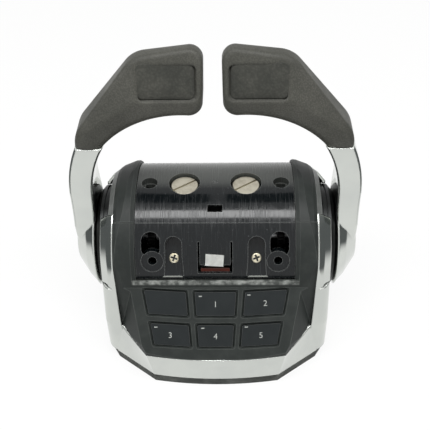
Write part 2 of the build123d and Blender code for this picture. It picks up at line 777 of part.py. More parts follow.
with BuildPart() as sensor_gear:
    with BuildSketch(axis_right.offset(gear_x - gear_width / 2)):
        Polygon(*gear_outline(gear_teeth, 0), align=None)
        Circle(shaft_radius + seat_clearance, mode=Mode.SUBTRACT)
    extrude(amount=gear_width)
save_pair(sensor_gear.part, "sensor_gear")

pinion_y = gear_module * (gear_teeth + pinion_teeth) / 2
with BuildPart() as sensor_pinion:
    with BuildSketch(axis_right.offset(gear_x - gear_width / 2)):
        with Locations((pinion_y, 0)):
            Polygon(*gear_outline(pinion_teeth, 0.5), align=None)
    extrude(amount=gear_width)
    with BuildSketch(axis_right.offset(gear_x)):
        with Locations((pinion_y, 0)):
            Circle(pinion_shaft)
    extrude(amount=frame_x - frame_thickness / 2 - 1 - gear_x)
save_pair(sensor_pinion.part, "sensor_pinion")

sensor_from = gear_x + gear_width / 2 + 0.8
with BuildPart() as position_sensor:
    with BuildSketch(axis_right.offset(sensor_from)):
        with Locations((pinion_y, 0)):
            RectangleRounded(18, 24, 2)
            Circle(pinion_shaft + running_clearance, mode=Mode.SUBTRACT)
    extrude(amount=frame_x - frame_thickness / 2 - 0.3 - sensor_from)
save_pair(position_sensor.part, "position_sensor")

with BuildPart() as detent_wheel:
    with BuildSketch(axis_right.offset(wheel_x - wheel_width / 2)):
        Circle(wheel_radius)
        for angle in detent_angles:
            a = math.radians(-90 + angle)
            with Locations(((wheel_radius + 2.0) * math.cos(a), (wheel_radius + 2.0) * math.sin(a))):
                Circle(4.0, mode=Mode.SUBTRACT)
        Circle(shaft_radius + seat_clearance, mode=Mode.SUBTRACT)
    extrude(amount=wheel_width)
save_pair(detent_wheel.part, "detent_wheel")

with BuildPart() as friction_drum:
    with BuildSketch(axis_right.offset(drum_x - drum_width / 2)):
        Circle(drum_radius)
        Circle(shaft_radius + seat_clearance, mode=Mode.SUBTRACT)
    extrude(amount=drum_width)
save_pair(friction_drum.part, "friction_drum")

with BuildPart() as lever_shaft:
    with BuildSketch(axis_right.offset(shaft_inner_x)):
        Circle(shaft_radius)
    extrude(amount=shaft_outer_x - shaft_inner_x)
    chamfer(lever_shaft.faces().sort_by(Axis.X)[0].edges(), 0.8)
save_pair(lever_shaft.part, "lever_shaft")

with BuildPart() as hub_collar:
    with BuildSketch(Plane.XY.offset(pivot_height)):
        with BuildLine():
            rings = []
            for step in range(3):
                x = neck_inner_x + neck_step * step
                rings += [(x, neck_radius - neck_groove), (x + neck_groove, neck_radius - neck_groove),
                          (x + neck_groove, neck_radius), (x + neck_step, neck_radius)]
            Polyline((neck_inner_x, shaft_radius + seat_clearance), *rings,
                     (hub_inner_x, neck_radius - 3), (hub_inner_x, shaft_radius + seat_clearance), close=True)
        make_face()
    revolve(axis=Axis((0, 0, pivot_height), (1, 0, 0)))
save_pair(hub_collar.part, "hub_collar")


joint_z = pivot_height + grip_joint
with BuildSketch(Plane.XZ.offset(-60)) as arm_front:
    with BuildLine():
        Polyline((hub_inner_x + 0.6, pivot_height), (hub_outer_x - 0.6, pivot_height),
                 (hub_outer_x - 0.6, pivot_height + 18))
        shank = ThreePointArc((hub_outer_x - 0.6, pivot_height + 18), (100.4, pivot_height + 36),
                              (101, pivot_height + 53))
        TangentArc(shank @ 1, (grip_outer_x, joint_z), tangent=(0, 1))
        Line((grip_outer_x, joint_z), (grip_inner_x, joint_z))
        TangentArc((hub_inner_x + 0.6, pivot_height + 52), (grip_inner_x, joint_z), tangent=(0, 1))
        Line((hub_inner_x + 0.6, pivot_height + 52), (hub_inner_x + 0.6, pivot_height))
    make_face()
with BuildSketch(Plane.YZ.offset(70)) as arm_side:
    with BuildLine():
        Polyline((-14, pivot_height), (lever_foot_y, pivot_height + lever_foot_z),
                 (grip_front_y, joint_z), (grip_front_y + grip_depth, joint_z), (16, pivot_height + 58),
                 (23, pivot_height + 26), (14, pivot_height), close=True)
    make_face()
arm_blank = extrude(arm_front.sketch, 120) & extrude(arm_side.sketch, 40)
arm_corners = arm_blank.edges().filter_by(lambda e: e.length > 15 and abs(e.tangent_at(0.5).Z) > 0.8)
arm_blank = fillet(arm_corners, 2.6)


def core_station(x, z, lean, size):
    """Cross-section of the arm's core inside the grip, square to a path that leans inwards."""
    a = math.radians(lean)
    middle_y = grip_front_y + grip_depth / 2
    station = Plane(origin=(x, middle_y, pivot_height + z), x_dir=(0, 1, 0),
                    z_dir=(-math.sin(a), 0, math.cos(a)))
    with BuildSketch(station) as section:
        RectangleRounded(size, size, 2.0)
    return section.sketch


core_path = (((grip_outer_x + grip_inner_x) / 2, grip_joint, 0), (79.8, 96.5, 20), (70.0, 108.0, 45),
             (58.0, 118.0, 60))
core_blank = loft([core_station(*place, core_size) for place in core_path], ruled=True)
core_room = loft([core_station(*place, core_size + 2 * seat_clearance) for place in core_path], ruled=True)

def leaning_plane(lean, fall):
    """Plane through the grip's crease that leans back; fall turns the crease down outwards."""
    a, f = math.radians(lean), math.radians(fall)
    return Plane(
        origin=(crease_x, grip_front_y, pivot_height + crease_z),
        x_dir=(math.cos(f), 0, -math.sin(f)),
        z_dir=(math.sin(f) * math.sin(a), -math.cos(a), math.cos(f) * math.sin(a)),
    )


def in_front_of(plane):
    """Space in front of a plane, as far as the grip reaches."""
    with BuildSketch(plane) as face:
        Rectangle(400, 400)
    return extrude(face.sketch, 100)


def on_one_plane(point):
    """Whether a point lies on just one of the grip's three front planes."""
    touching = [abs(plane.to_local_coords(point).Z) < 0.05 for plane in (pad_plane, slope_plane)]
    return touching.count(True) == 1 and point.Y > grip_front_y + 0.1


def pad_outline(side, groove, corner):
    """Outline of the grip's pad or of its recess, on the leaning face."""
    left, right = pad_left + groove - crease_x, pad_right - side - crease_x
    low, high = pad_bottom + groove, pad_top - side
    with BuildSketch(pad_plane) as outline:
        with Locations(((left + right) / 2, (low + high) / 2)):
            RectangleRounded(right - left, high - low, corner)
    return outline.sketch


pad_plane = leaning_plane(pad_lean, 0)
slope_plane = leaning_plane(slope_lean, slope_fall)
pad_room = extrude(pad_outline(0, 0, 3.4), -pad_depth) + extrude(pad_outline(0, 0, 3.4), 2)

with BuildPart() as grip_blank:
    with BuildSketch(Plane.XZ.offset(-grip_front_y)):
        with BuildLine():
            elbow = JernArc((grip_outer_x, joint_z), (0, 1), 25.2, 39.4)
            slope_end = elbow @ 1 + 50 * (elbow % 1)
            Line(elbow @ 1, slope_end)
            shoulder = JernArc(slope_end, elbow % 1, 19.8, 44.6)
            Line(shoulder @ 1, (15, pivot_height + 152.2))
            top = ThreePointArc((15, pivot_height + 152.2), (8.4, pivot_height + 149.6),
                                (grip_end_x - 0.6, pivot_height + 143))
            Line(top @ 1, (grip_end_x, pivot_height + 120))
            low = ThreePointArc((grip_end_x, pivot_height + 120), (9.6, pivot_height + 113.6),
                                (16, pivot_height + 111.2))
            inner = ThreePointArc(low @ 1, (57, pivot_height + 101.6), (grip_inner_x, joint_z))
            Polyline(inner @ 1, (grip_inner_x + 9, joint_z - 12), (grip_outer_x, joint_z - 12), elbow @ 0)
        make_face()
    extrude(amount=-grip_thickness)
    fillet(grip_blank.faces().filter_by(Axis.Y).edges(), grip_round)
grip_leant = grip_blank.part - in_front_of(pad_plane) - in_front_of(slope_plane)
leaning = [f for f in grip_leant.faces().filter_by(GeomType.PLANE)
           if f.normal_at().Y < -0.5 and f.normal_at().Z > 0.1]
grip_leant = fillet([e for f in leaning for e in f.edges() if on_one_plane(e.center())], lean_round)
with BuildPart() as grip:
    add(grip_leant)
    with BuildSketch(Plane.YZ):
        with BuildLine():
            Polyline((grip_front_y + grip_depth, joint_z), (grip_front_y + grip_thickness, joint_z + 24),
                     (60, joint_z + 24), (60, joint_z - 20), (-60, joint_z - 20), (-60, joint_z), close=True)
        make_face()
    extrude(amount=120, mode=Mode.SUBTRACT)
    add(core_room, mode=Mode.SUBTRACT)
    add(pad_room, mode=Mode.SUBTRACT)
save_pair(grip.part, "grip")

with BuildPart() as grip_pad:
    extrude(pad_outline(cover_gap, pad_groove, 2.6), -pad_depth)
    extrude(pad_outline(cover_gap, pad_groove, 2.6), -0.3, mode=Mode.SUBTRACT)
save_pair(grip_pad.part, "grip_pad")

with BuildPart() as lever_arm:
    with BuildSketch(Plane.XY.offset(pivot_height)):
        with BuildLine():
            Polyline((hub_inner_x, 0), (hub_inner_x, hub_radius - 4), (hub_rim_x, hub_radius),
                     (hub_slope_x, hub_slope_radius), (hub_outer_x, hub_nose_radius), (hub_outer_x, 0),
                     close=True)
        make_face()
    revolve(axis=Axis((0, 0, pivot_height), (1, 0, 0)))
    add(arm_blank)
    add(core_blank)
    with BuildSketch(axis_right.offset(hub_inner_x - 1)):
        Circle(shaft_radius + seat_clearance)
    extrude(amount=shaft_outer_x + 0.6 - hub_inner_x + 1, mode=Mode.SUBTRACT)
save_pair(lever_arm.part, "lever_arm")
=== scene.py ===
"""Looks of a twin-lever throttle control head for a boat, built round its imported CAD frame.

Lengths are millimetres in the dataclasses and metres in Blender. +Z is up out of the dash, +X is
to the right hand of the operator, who stands on the -Y side.
"""
from __future__ import annotations

import logging
import math
from dataclasses import dataclass
from enum import Enum

import bmesh
import bpy
from mathutils import Matrix, Vector

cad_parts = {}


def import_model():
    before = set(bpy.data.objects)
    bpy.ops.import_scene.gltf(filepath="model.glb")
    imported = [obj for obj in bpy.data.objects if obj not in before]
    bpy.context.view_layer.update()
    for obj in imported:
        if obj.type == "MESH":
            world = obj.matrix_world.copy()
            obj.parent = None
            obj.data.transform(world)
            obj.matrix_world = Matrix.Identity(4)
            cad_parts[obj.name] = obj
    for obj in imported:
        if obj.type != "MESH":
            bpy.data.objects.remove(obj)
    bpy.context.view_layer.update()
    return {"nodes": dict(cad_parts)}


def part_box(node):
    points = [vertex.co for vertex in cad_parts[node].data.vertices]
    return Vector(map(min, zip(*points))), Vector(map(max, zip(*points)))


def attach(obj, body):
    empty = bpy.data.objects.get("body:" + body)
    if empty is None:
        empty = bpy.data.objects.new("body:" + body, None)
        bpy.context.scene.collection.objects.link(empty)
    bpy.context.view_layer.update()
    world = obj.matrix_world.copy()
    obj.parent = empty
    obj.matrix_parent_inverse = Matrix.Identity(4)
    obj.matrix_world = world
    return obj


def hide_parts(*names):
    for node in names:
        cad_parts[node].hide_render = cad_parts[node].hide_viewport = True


Tree = bpy.types.NodeTree
Node = bpy.types.Node
Socket = bpy.types.NodeSocket
Material = bpy.types.Material
Form = bmesh.types.BMesh
Vert = bmesh.types.BMVert
Pair = tuple[float, float]
Triple = tuple[float, float, float]

log = logging.getLogger("control_head")
MM = 0.001
WHITE = (1, 1, 1, 1)
IMAGE = 430  # pixels along each side of the picture
SIDES = ((-1, "left"), (1, "right"))


# ---- small helpers
def linear(hex_colour: str) -> tuple[float, float, float, float]:
    """Turn an sRGB hex colour into a linear RGBA value.

    Args:
        hex_colour: six hex digits.

    Returns:
        Red, green, blue and alpha, linear.
    """
    channels = [int(hex_colour[i:i + 2], 16) / 255 for i in (0, 2, 4)]
    lin = [c / 12.92 if c <= 0.04045 else ((c + 0.055) / 1.055) ** 2.4 for c in channels]
    return (*lin, 1.0)


def per_mm(size: float) -> float:
    """Texture scale, in cycles per metre, of a pattern whose features are size millimetres apart."""
    return 1.0 / (size * MM)


def empty_nodes(owner: Material | bpy.types.World) -> Tree:
    """Switch a new material or world to nodes, and return its tree with nothing in it.

    Args:
        owner: the material or world.

    Returns:
        Its node tree.
    """
    owner.use_nodes = True
    owner.node_tree.nodes.clear()
    return owner.node_tree


def add_node(tree: Tree, kind: str, inputs: dict[str | int, object] | tuple[object, ...] = (),
             **settings: object) -> Node:
    """Add a shader node with its settings and links.

    Args:
        tree: the material's or world's node tree.
        kind: Blender's node type name, after its ShaderNode.
        inputs: each input's value, or an output socket that feeds it, by name or index or in their order.
        settings: attributes of the node.

    Returns:
        The new node.
    """
    node = tree.nodes.new("ShaderNode" + kind)
    for name, value in settings.items():
        setattr(node, name, value)
    for key, value in inputs.items() if isinstance(inputs, dict) else enumerate(inputs):
        if isinstance(value, Socket):
            tree.links.new(value, node.inputs[key])
        else:
            node.inputs[key].default_value = value
    return node


def ring_faces(form: Form, low: list[Vert], high: list[Vert]) -> list[bmesh.types.BMFace]:
    """Join two closed loops of as many vertices by a ring of faces, and return the faces."""
    count = len(low)
    return [form.faces.new((low[i], low[(i + 1) % count], high[(i + 1) % count], high[i])) for i in range(count)]


def mesh_piece(name: str, form: Form, material: Material, smooth: bool = True) -> bpy.types.Object:
    """Turn a bmesh, in metres, into a linked object.

    Args:
        name: the object's name.
        form: the mesh, which is freed.
        material: its first material.
        smooth: whether its faces are shaded smooth.

    Returns:
        The new object.
    """
    bmesh.ops.recalc_face_normals(form, faces=form.faces)
    mesh = bpy.data.meshes.new(name)
    form.to_mesh(mesh)
    form.free()
    for polygon in mesh.polygons:
        polygon.use_smooth = smooth
    mesh.materials.append(material)
    piece = bpy.data.objects.new(name, mesh)
    bpy.context.scene.collection.objects.link(piece)
    log.info("made %s", name)
    return piece


# ---- finishes
@dataclass(frozen=True)
class Surface:
    """A finish under way: its nodes, its principled shader and the object coordinates, in metres."""

    tree: Tree
    shader: Node
    place: Socket
    break_up: float = 0.6
    edge_match: Pair = (0.998, 0.93)
    edge_samples: int = 6
    relief_samples: int = 8

    def feed(self, name: str, source: Socket) -> None:
        """Feed one of the shader's sockets."""
        self.tree.links.new(source, self.shader.inputs[name])

    def noise(self, size: float, detail: float, stretch: Triple = (1, 1, 1), turn: float = 0.0) -> Socket:
        """Noise whose features are size millimetres apart.

        Args:
            size: feature spacing in millimetres.
            detail: octaves.
            stretch: how much finer the pattern is along each axis.
            turn: tilt of the stretched axes about X, in degrees.

        Returns:
            The noise factor's socket.
        """
        mapped = add_node(self.tree, "Mapping", {"Vector": self.place, "Scale": stretch,
                                                 "Rotation": (math.radians(turn), 0, 0)})
        return add_node(self.tree, "TexNoise", {"Vector": mapped.outputs[0], "Scale": per_mm(size), "Detail": detail,
                                                "Roughness": self.break_up}).outputs["Fac"]

    def tint(self, base: str | Socket, amount: Socket, colour: str, span: Pair | None = None,
             shares: Pair = (0.0, 1.0)) -> Socket:
        """Lay a colour over the base.

        Args:
            base: the colour under it, in hex or as a socket.
            amount: factor that says where the colour lies.
            colour: the colour laid on, in hex.
            span: the part of the factor's range that counts, or None to use it as it is.
            shares: how much of the colour shows at the span's ends.

        Returns:
            The resulting colour's socket.
        """
        if span:
            amount = add_node(self.tree, "MapRange", (amount, *span, *shares)).outputs[0]
        under = linear(base) if isinstance(base, str) else base
        return add_node(self.tree, "Mix", {0: amount, 6: under, 7: linear(colour)}, data_type="RGBA").outputs[2]

    def dull(self, factor: Socket, span: Pair, levels: Pair) -> None:
        """Vary the roughness between two levels, over a span of a factor."""
        self.feed("Roughness", add_node(self.tree, "MapRange", (factor, *span, *levels)).outputs[0])

    def relief(self, height: Socket, depth: float, edge_radius: float = 0.0) -> None:
        """Raise the surface by a height factor, over edges that are eased by a radius.

        Args:
            height: the height factor.
            depth: its depth in millimetres.
            edge_radius: how far the edges look rounded, in millimetres.
        """
        bump = add_node(self.tree, "Bump", {"Height": height, "Distance": depth * MM, "Strength": 1.0})
        if edge_radius:
            eased = add_node(self.tree, "Bevel", {"Radius": edge_radius * MM}, samples=self.relief_samples)
            self.tree.links.new(eased.outputs[0], bump.inputs["Normal"])
        self.feed("Normal", bump.outputs[0])

    def worn_edge(self, radius: float) -> Socket:
        """Factor that is high on convex and concave edges.

        Args:
            radius: how far from an edge it reaches, in millimetres.

        Returns:
            The factor's socket.
        """
        eased = add_node(self.tree, "Bevel", {"Radius": radius * MM}, samples=self.edge_samples).outputs[0]
        flat = add_node(self.tree, "NewGeometry").outputs["Normal"]
        match = add_node(self.tree, "VectorMath", (eased, flat), operation="DOT_PRODUCT").outputs["Value"]
        return add_node(self.tree, "MapRange", (match, *self.edge_match)).outputs[0]


@dataclass(frozen=True)
class Finish:
    """A material of the head: what it is made of and how its surface was made.

    Clouds of another colour lie on it and vary its gloss, its edges are rubbed, and a grain raises it.
    Sizes, radii and depths are millimetres. A span is the part of a pattern's range that counts, and a
    share is how much of the colour shows at the span's end.
    """

    name: str
    colour: str
    roughness: float
    metallic: float = 0.0
    coat: float = 0.0
    skin: float = 0.28
    clouded: str = ""
    cloud_size: float = 10.0
    cloud_detail: float = 5.0
    cloud_span: Pair = (0.4, 0.7)
    cloud_share: float = 0.5
    rubbed: str = ""
    rub_radius: float = 0.5
    rub_share: float = 0.5
    gloss_span: Pair = (0.3, 0.7)
    gloss_change: Pair = (0.0, 0.0)
    grain: float = 0.0
    grain_detail: float = 2.0
    grain_stretch: Triple = (1, 1, 1)
    grain_turn: float = 0.0
    grain_depth: float = 0.01
    edge_radius: float = 0.0

    @property
    def sheen(self) -> float:
        """Specular level: the default for metals, less for plastics and rubber, whose skin is broken up."""
        return 0.5 if self.metallic else self.skin

    @property
    def gloss_levels(self) -> Pair:
        """Roughness at the ends of the gloss span."""
        return self.roughness + self.gloss_change[0], self.roughness + self.gloss_change[1]

    def material(self) -> Material:
        """Return the finish's material, made on first use."""
        found = bpy.data.materials.get(self.name)
        if found:
            return found
        made = bpy.data.materials.new(self.name)
        made.diffuse_color = linear(self.colour)
        tree = empty_nodes(made)
        shader = add_node(tree, "BsdfPrincipled",
                          {"Base Color": linear(self.colour), "Roughness": self.roughness, "Metallic": self.metallic,
                           "Coat Weight": self.coat, "Specular IOR Level": self.sheen})
        add_node(tree, "OutputMaterial", {"Surface": shader.outputs[0]})
        self.dress(Surface(tree, shader, add_node(tree, "TexCoord").outputs["Object"]))
        return made

    def dress(self, surface: Surface) -> None:
        """Add what the surface's making and wear leave on it.

        Args:
            surface: the finish under way.
        """
        clouds = surface.noise(self.cloud_size, self.cloud_detail)
        grain = self.pattern(surface) if self.grain else clouds
        paint = self.colour
        if self.clouded:
            paint = surface.tint(paint, clouds, self.clouded, self.cloud_span, (0.0, self.cloud_share))
        if self.rubbed:
            edge = surface.worn_edge(self.rub_radius)
            paint = surface.tint(paint, edge, self.rubbed, (0.0, 1.0), (0.0, self.rub_share))
        surface.feed("Base Color", self.last_coat(surface, paint, grain))
        if any(self.gloss_change):
            surface.dull(clouds, self.gloss_span, self.gloss_levels)
        surface.relief(grain, self.grain_depth, self.edge_radius)

    def pattern(self, surface: Surface) -> Socket:
        """Factor of the grain's height; some finishes have their own."""
        return surface.noise(self.grain, self.grain_detail, self.grain_stretch, self.grain_turn)

    def last_coat(self, surface: Surface, paint: Socket, grain: Socket) -> Socket:
        """The colour so far, under what only some finishes lay on last."""
        return paint


@dataclass(frozen=True)
class ChromePlate(Finish):
    """Bright chrome plate on polished die-cast zinc: a mirror, with soft wiping marks and hairlines in it."""

    clouded: str = "C6C8C6"
    cloud_size: float = 40.0
    cloud_detail: float = 3.0
    cloud_span: Pair = (0.4, 0.65)
    cloud_share: float = 1.0
    gloss_span: Pair = (0.35, 0.7)
    gloss_change: Pair = (0.0, 0.03)
    grain: float = 1.1
    grain_stretch: Triple = (1, 1, 9)
    grain_turn: float = 20.0
    grain_depth: float = 0.0005
    edge_radius: float = 1.5


@dataclass(frozen=True)
class MouldedAbs(Finish):
    """Black ABS from a spark-eroded tool: a fine even grain, at about its real spacing, that scatters the light.

    Dust lies in the grain, handled edges are paler, and the lip over the keys is scuffed.
    """

    clouded: str = "3A3E3B"
    cloud_size: float = 9.0
    cloud_detail: float = 6.0
    cloud_span: Pair = (0.45, 0.75)
    cloud_share: float = 0.35
    rubbed: str = "6C706C"
    rub_radius: float = 0.7
    rub_share: float = 0.45
    gloss_change: Pair = (-0.05, 0.08)
    grain: float = 0.45
    grain_depth: float = 0.03
    scuffed: str = "A6A9A4"
    scuff_size: float = 5.0
    scuff_span: Pair = (0.42, 0.66)
    scuff_shares: Pair = (0.12, 0.85)
    lip: Pair = (-53.8, 70.8)
    lip_wear: float = 2.2
    lip_reach: float = 57.0
    lip_fade: float = 1.5

    def last_coat(self, surface: Surface, paint: Socket, grain: Socket) -> Socket:
        """Scuffs along the lip over the keys, broken into patches.

        Args:
            surface: the finish under way.
            paint: the colour so far.
            grain: factor of the grain's height; not used.

        Returns:
            The colour's socket.
        """
        tree = surface.tree
        line = (0, self.lip[0] * MM, self.lip[1] * MM)
        beside = add_node(tree, "VectorMath", (surface.place, line), operation="SUBTRACT").outputs[0]
        across = add_node(tree, "VectorMath", (beside, (0, 1, 1)), operation="MULTIPLY").outputs[0]
        away = add_node(tree, "VectorMath", (across,), operation="LENGTH").outputs["Value"]
        near = add_node(tree, "MapRange", (away, self.lip_wear * MM, self.lip_wear / 2 * MM)).outputs[0]
        noise = surface.noise(self.scuff_size, 6)
        patches = add_node(tree, "MapRange", (noise, *self.scuff_span, *self.scuff_shares)).outputs[0]
        side = add_node(tree, "SeparateXYZ", (surface.place,)).outputs["X"]
        out = add_node(tree, "Math", (side,), operation="ABSOLUTE").outputs[0]
        end = self.lip_reach + self.lip_fade
        within = add_node(tree, "MapRange", (out, self.lip_reach * MM, end * MM, 1.0, 0.0)).outputs[0]
        worn = add_node(tree, "Math", (near, patches), operation="MULTIPLY").outputs[0]
        scuffs = add_node(tree, "Math", (worn, within), operation="MULTIPLY").outputs[0]
        return surface.tint(paint, scuffs, self.scuffed)


@dataclass(frozen=True)
class PolishedAbs(Finish):
    """Black ABS from a polished tool: glossy, with fine rubbed streaks, a painted sheen over the crown that stands for
    its reflection of the pale backdrop, and specks.
    """

    clouded: str = "3C3E3E"
    cloud_size: float = 18.0
    cloud_detail: float = 4.0
    cloud_span: Pair = (0.55, 0.8)
    cloud_share: float = 0.35
    rubbed: str = "8A8C8A"
    rub_share: float = 0.55
    gloss_span: Pair = (0.60, 0.85)
    gloss_change: Pair = (0.0, 0.26)
    grain: float = 14.0
    grain_detail: float = 5.0
    grain_stretch: Triple = (16, 1, 1)
    grain_depth: float = 0.012
    # painted reflection: colour and extent of the pale sheen laid over the crown
    painted_sheen: str = "8E918B"
    painted_sheen_share: float = 0.6
    painted_sheen_rise: Pair = (-6.0, 22.0)
    painted_sheen_fall: Pair = (24.0, 40.0)
    speck: str = "77797A"
    speck_size: float = 1.6
    haze_share: float = 0.35

    def dress(self, surface: Surface) -> None:
        """The streaks are pale as well as rough, and the specks lie on the painted sheen.

        Args:
            surface: the finish under way.
        """
        streaks = self.pattern(surface)
        specks = surface.noise(self.speck_size, 3)
        haze = surface.noise(self.cloud_size, self.cloud_detail)
        edge = surface.worn_edge(self.rub_radius)
        streaked = surface.tint(self.colour, streaks, self.clouded, self.cloud_span, (0.0, self.cloud_share))
        # painted reflection: the pale sheen over the crown, where it reflects the backdrop at a grazing angle
        with_painted_sheen = surface.tint(streaked, self.painted_crown_sheen(surface), self.painted_sheen)
        spotted = surface.tint(with_painted_sheen, specks, self.speck, (0.68, 0.8), (0.0, 0.6))
        surface.feed("Base Color", surface.tint(spotted, edge, self.rubbed, (0.1, 1.0), (0.0, self.rub_share)))
        level = add_node(surface.tree, "Math", (haze, self.haze_share, streaks), operation="MULTIPLY_ADD").outputs[0]
        surface.dull(level, self.gloss_span, self.gloss_levels)
        surface.relief(streaks, self.grain_depth)

    def painted_crown_sheen(self, surface: Surface) -> Socket:
        """Factor for the painted sheen behind the crown's ridge, a painted reflection of the pale backdrop; it fades
        again down the back.

        Args:
            surface: the finish under way.

        Returns:
            The factor's socket.
        """
        tree = surface.tree
        along = add_node(tree, "SeparateXYZ", (surface.place,)).outputs["Y"]
        start, full = (at * MM for at in self.painted_sheen_rise)
        rise = add_node(tree, "MapRange", (along, start, full, 0.0, self.painted_sheen_share)).outputs[0]
        start, end = (at * MM for at in self.painted_sheen_fall)
        fall = add_node(tree, "MapRange", (along, start, end, 1.0, 0.0)).outputs[0]
        return add_node(tree, "Math", (rise, fall), operation="MULTIPLY").outputs[0]


@dataclass(frozen=True)
class SatinAbs(Finish):
    """Keycap ABS with a satin skin, polished a little by fingers in soft patches, and pale at its edges."""

    cloud_size: float = 7.0
    cloud_detail: float = 4.0
    rubbed: str = "6A6B69"
    rub_radius: float = 0.4
    gloss_span: Pair = (0.35, 0.65)
    gloss_change: Pair = (-0.08, 0.1)
    grain: float = 0.5


@dataclass(frozen=True)
class GrainedElastomer(Finish):
    """Soft-touch elastomer with a leather grain: pebbles about a millimetre across, with painted shade in the creases
    between them.

    It is lighter and glossier where hands have polished it.
    """

    clouded: str = "5C5B54"
    cloud_size: float = 30.0
    cloud_detail: float = 4.0
    gloss_change: Pair = (0.08, -0.08)
    grain: float = 1.3
    grain_depth: float = 0.10
    edge_radius: float = 3.4
    # painted shade: the dark colour laid in the low creases between the pebbles
    painted_crease_shade: str = "1C1C19"
    bend_size: float = 3.0
    bend_share: float = 0.0006

    def pattern(self, surface: Surface) -> Socket:
        """Factor of the pebbles' height, which falls to nothing in the creases.

        Args:
            surface: the finish under way.

        Returns:
            The factor's socket.
        """
        tree = surface.tree
        bend = surface.noise(self.bend_size, 2)
        shifted = add_node(tree, "Mix", {0: self.bend_share, 4: surface.place, 5: bend}, data_type="VECTOR").outputs[1]
        pebbles = add_node(tree, "TexVoronoi", {"Vector": shifted, "Scale": per_mm(self.grain)},
                           feature="SMOOTH_F1").outputs["Distance"]
        return add_node(tree, "MapRange", (pebbles, 0.0, 0.55, 1.0, 0.0)).outputs[0]

    def last_coat(self, surface: Surface, paint: Socket, grain: Socket) -> Socket:
        """Painted shade in the creases, over the colour so far."""
        return surface.tint(paint, grain, self.painted_crease_shade, (0.0, 0.6), (0.35, 0.0))


@dataclass(frozen=True)
class SealRubber(Finish):
    """Moulded sealing rubber: dull, with a slightly uneven skin and pale clouds of surface blooming and dust."""

    clouded: str = "6E706C"
    cloud_size: float = 12.0
    cloud_span: Pair = (0.4, 0.75)
    cloud_share: float = 0.6
    grain: float = 0.9
    grain_detail: float = 3.0
    grain_depth: float = 0.03


@dataclass(frozen=True)
class TurnedSteel(Finish):
    """Steel turned on a lathe and plated: rings round the screw's own axis, with a dull tarnish between them.

    The rings are drawn wider than real so that they show.
    """

    clouded: str = "8F897A"
    cloud_size: float = 4.0
    cloud_span: Pair = (0.45, 0.75)
    cloud_share: float = 0.7
    gloss_change: Pair = (-0.06, 0.12)
    grain: float = 0.5
    grain_depth: float = 0.004
    centre: float = 0.0

    def pattern(self, surface: Surface) -> Socket:
        """Factor of the tool rings' height.

        Args:
            surface: the finish under way.

        Returns:
            The factor's socket.
        """
        tree = surface.tree
        axis = (self.centre * MM, 0, 0)
        shifted = add_node(tree, "VectorMath", (surface.place, axis), operation="SUBTRACT").outputs[0]
        flat = add_node(tree, "VectorMath", (shifted, (1, 1, 0)), operation="MULTIPLY").outputs[0]
        reach = add_node(tree, "VectorMath", (flat,), operation="LENGTH").outputs["Value"]
        turns = add_node(tree, "Math", (reach, 2 * math.pi * per_mm(self.grain)), operation="MULTIPLY").outputs[0]
        return add_node(tree, "Math", (turns,), operation="SINE").outputs[0]


@dataclass(frozen=True)
class PlatedSteel(Finish):
    """Zinc-plated screw steel: small clouds of yellowish passivation, and edges scuffed by the driver."""

    clouded: str = "9C9270"
    cloud_size: float = 2.0
    cloud_detail: float = 4.0
    cloud_share: float = 0.8
    rubbed: str = "D8D6CC"
    rub_radius: float = 0.3
    rub_share: float = 1.0


@dataclass(frozen=True)
class MachinedMetal(Finish):
    """Metal left bare from the machine: tool marks that run one way, dulled in patches by oxide."""

    clouded: str = "8A8C8C"
    cloud_size: float = 11.0
    cloud_share: float = 0.6
    gloss_change: Pair = (-0.05, 0.15)
    grain: float = 0.6
    grain_stretch: Triple = (1, 6, 1)
    grain_depth: float = 0.008


@dataclass(frozen=True)
class SatinPaint(Finish):
    """Stoved satin paint: a faint orange peel about two millimetres across, and paler rubbed rims."""

    clouded: str = "3A3B3A"
    cloud_size: float = 14.0
    cloud_span: Pair = (0.45, 0.75)
    cloud_share: float = 0.4
    rubbed: str = "5A5B5A"
    rub_radius: float = 0.6
    grain: float = 2.2
    grain_depth: float = 0.012


@dataclass(frozen=True)
class PrintedFilm(Finish):
    """Ink, film or paper: nearly flat, a little yellowed and uneven where it has aged."""

    clouded: str = "A8A79C"
    cloud_size: float = 3.0
    cloud_span: Pair = (0.4, 0.8)
    cloud_share: float = 0.35
    grain_depth: float = 0.004


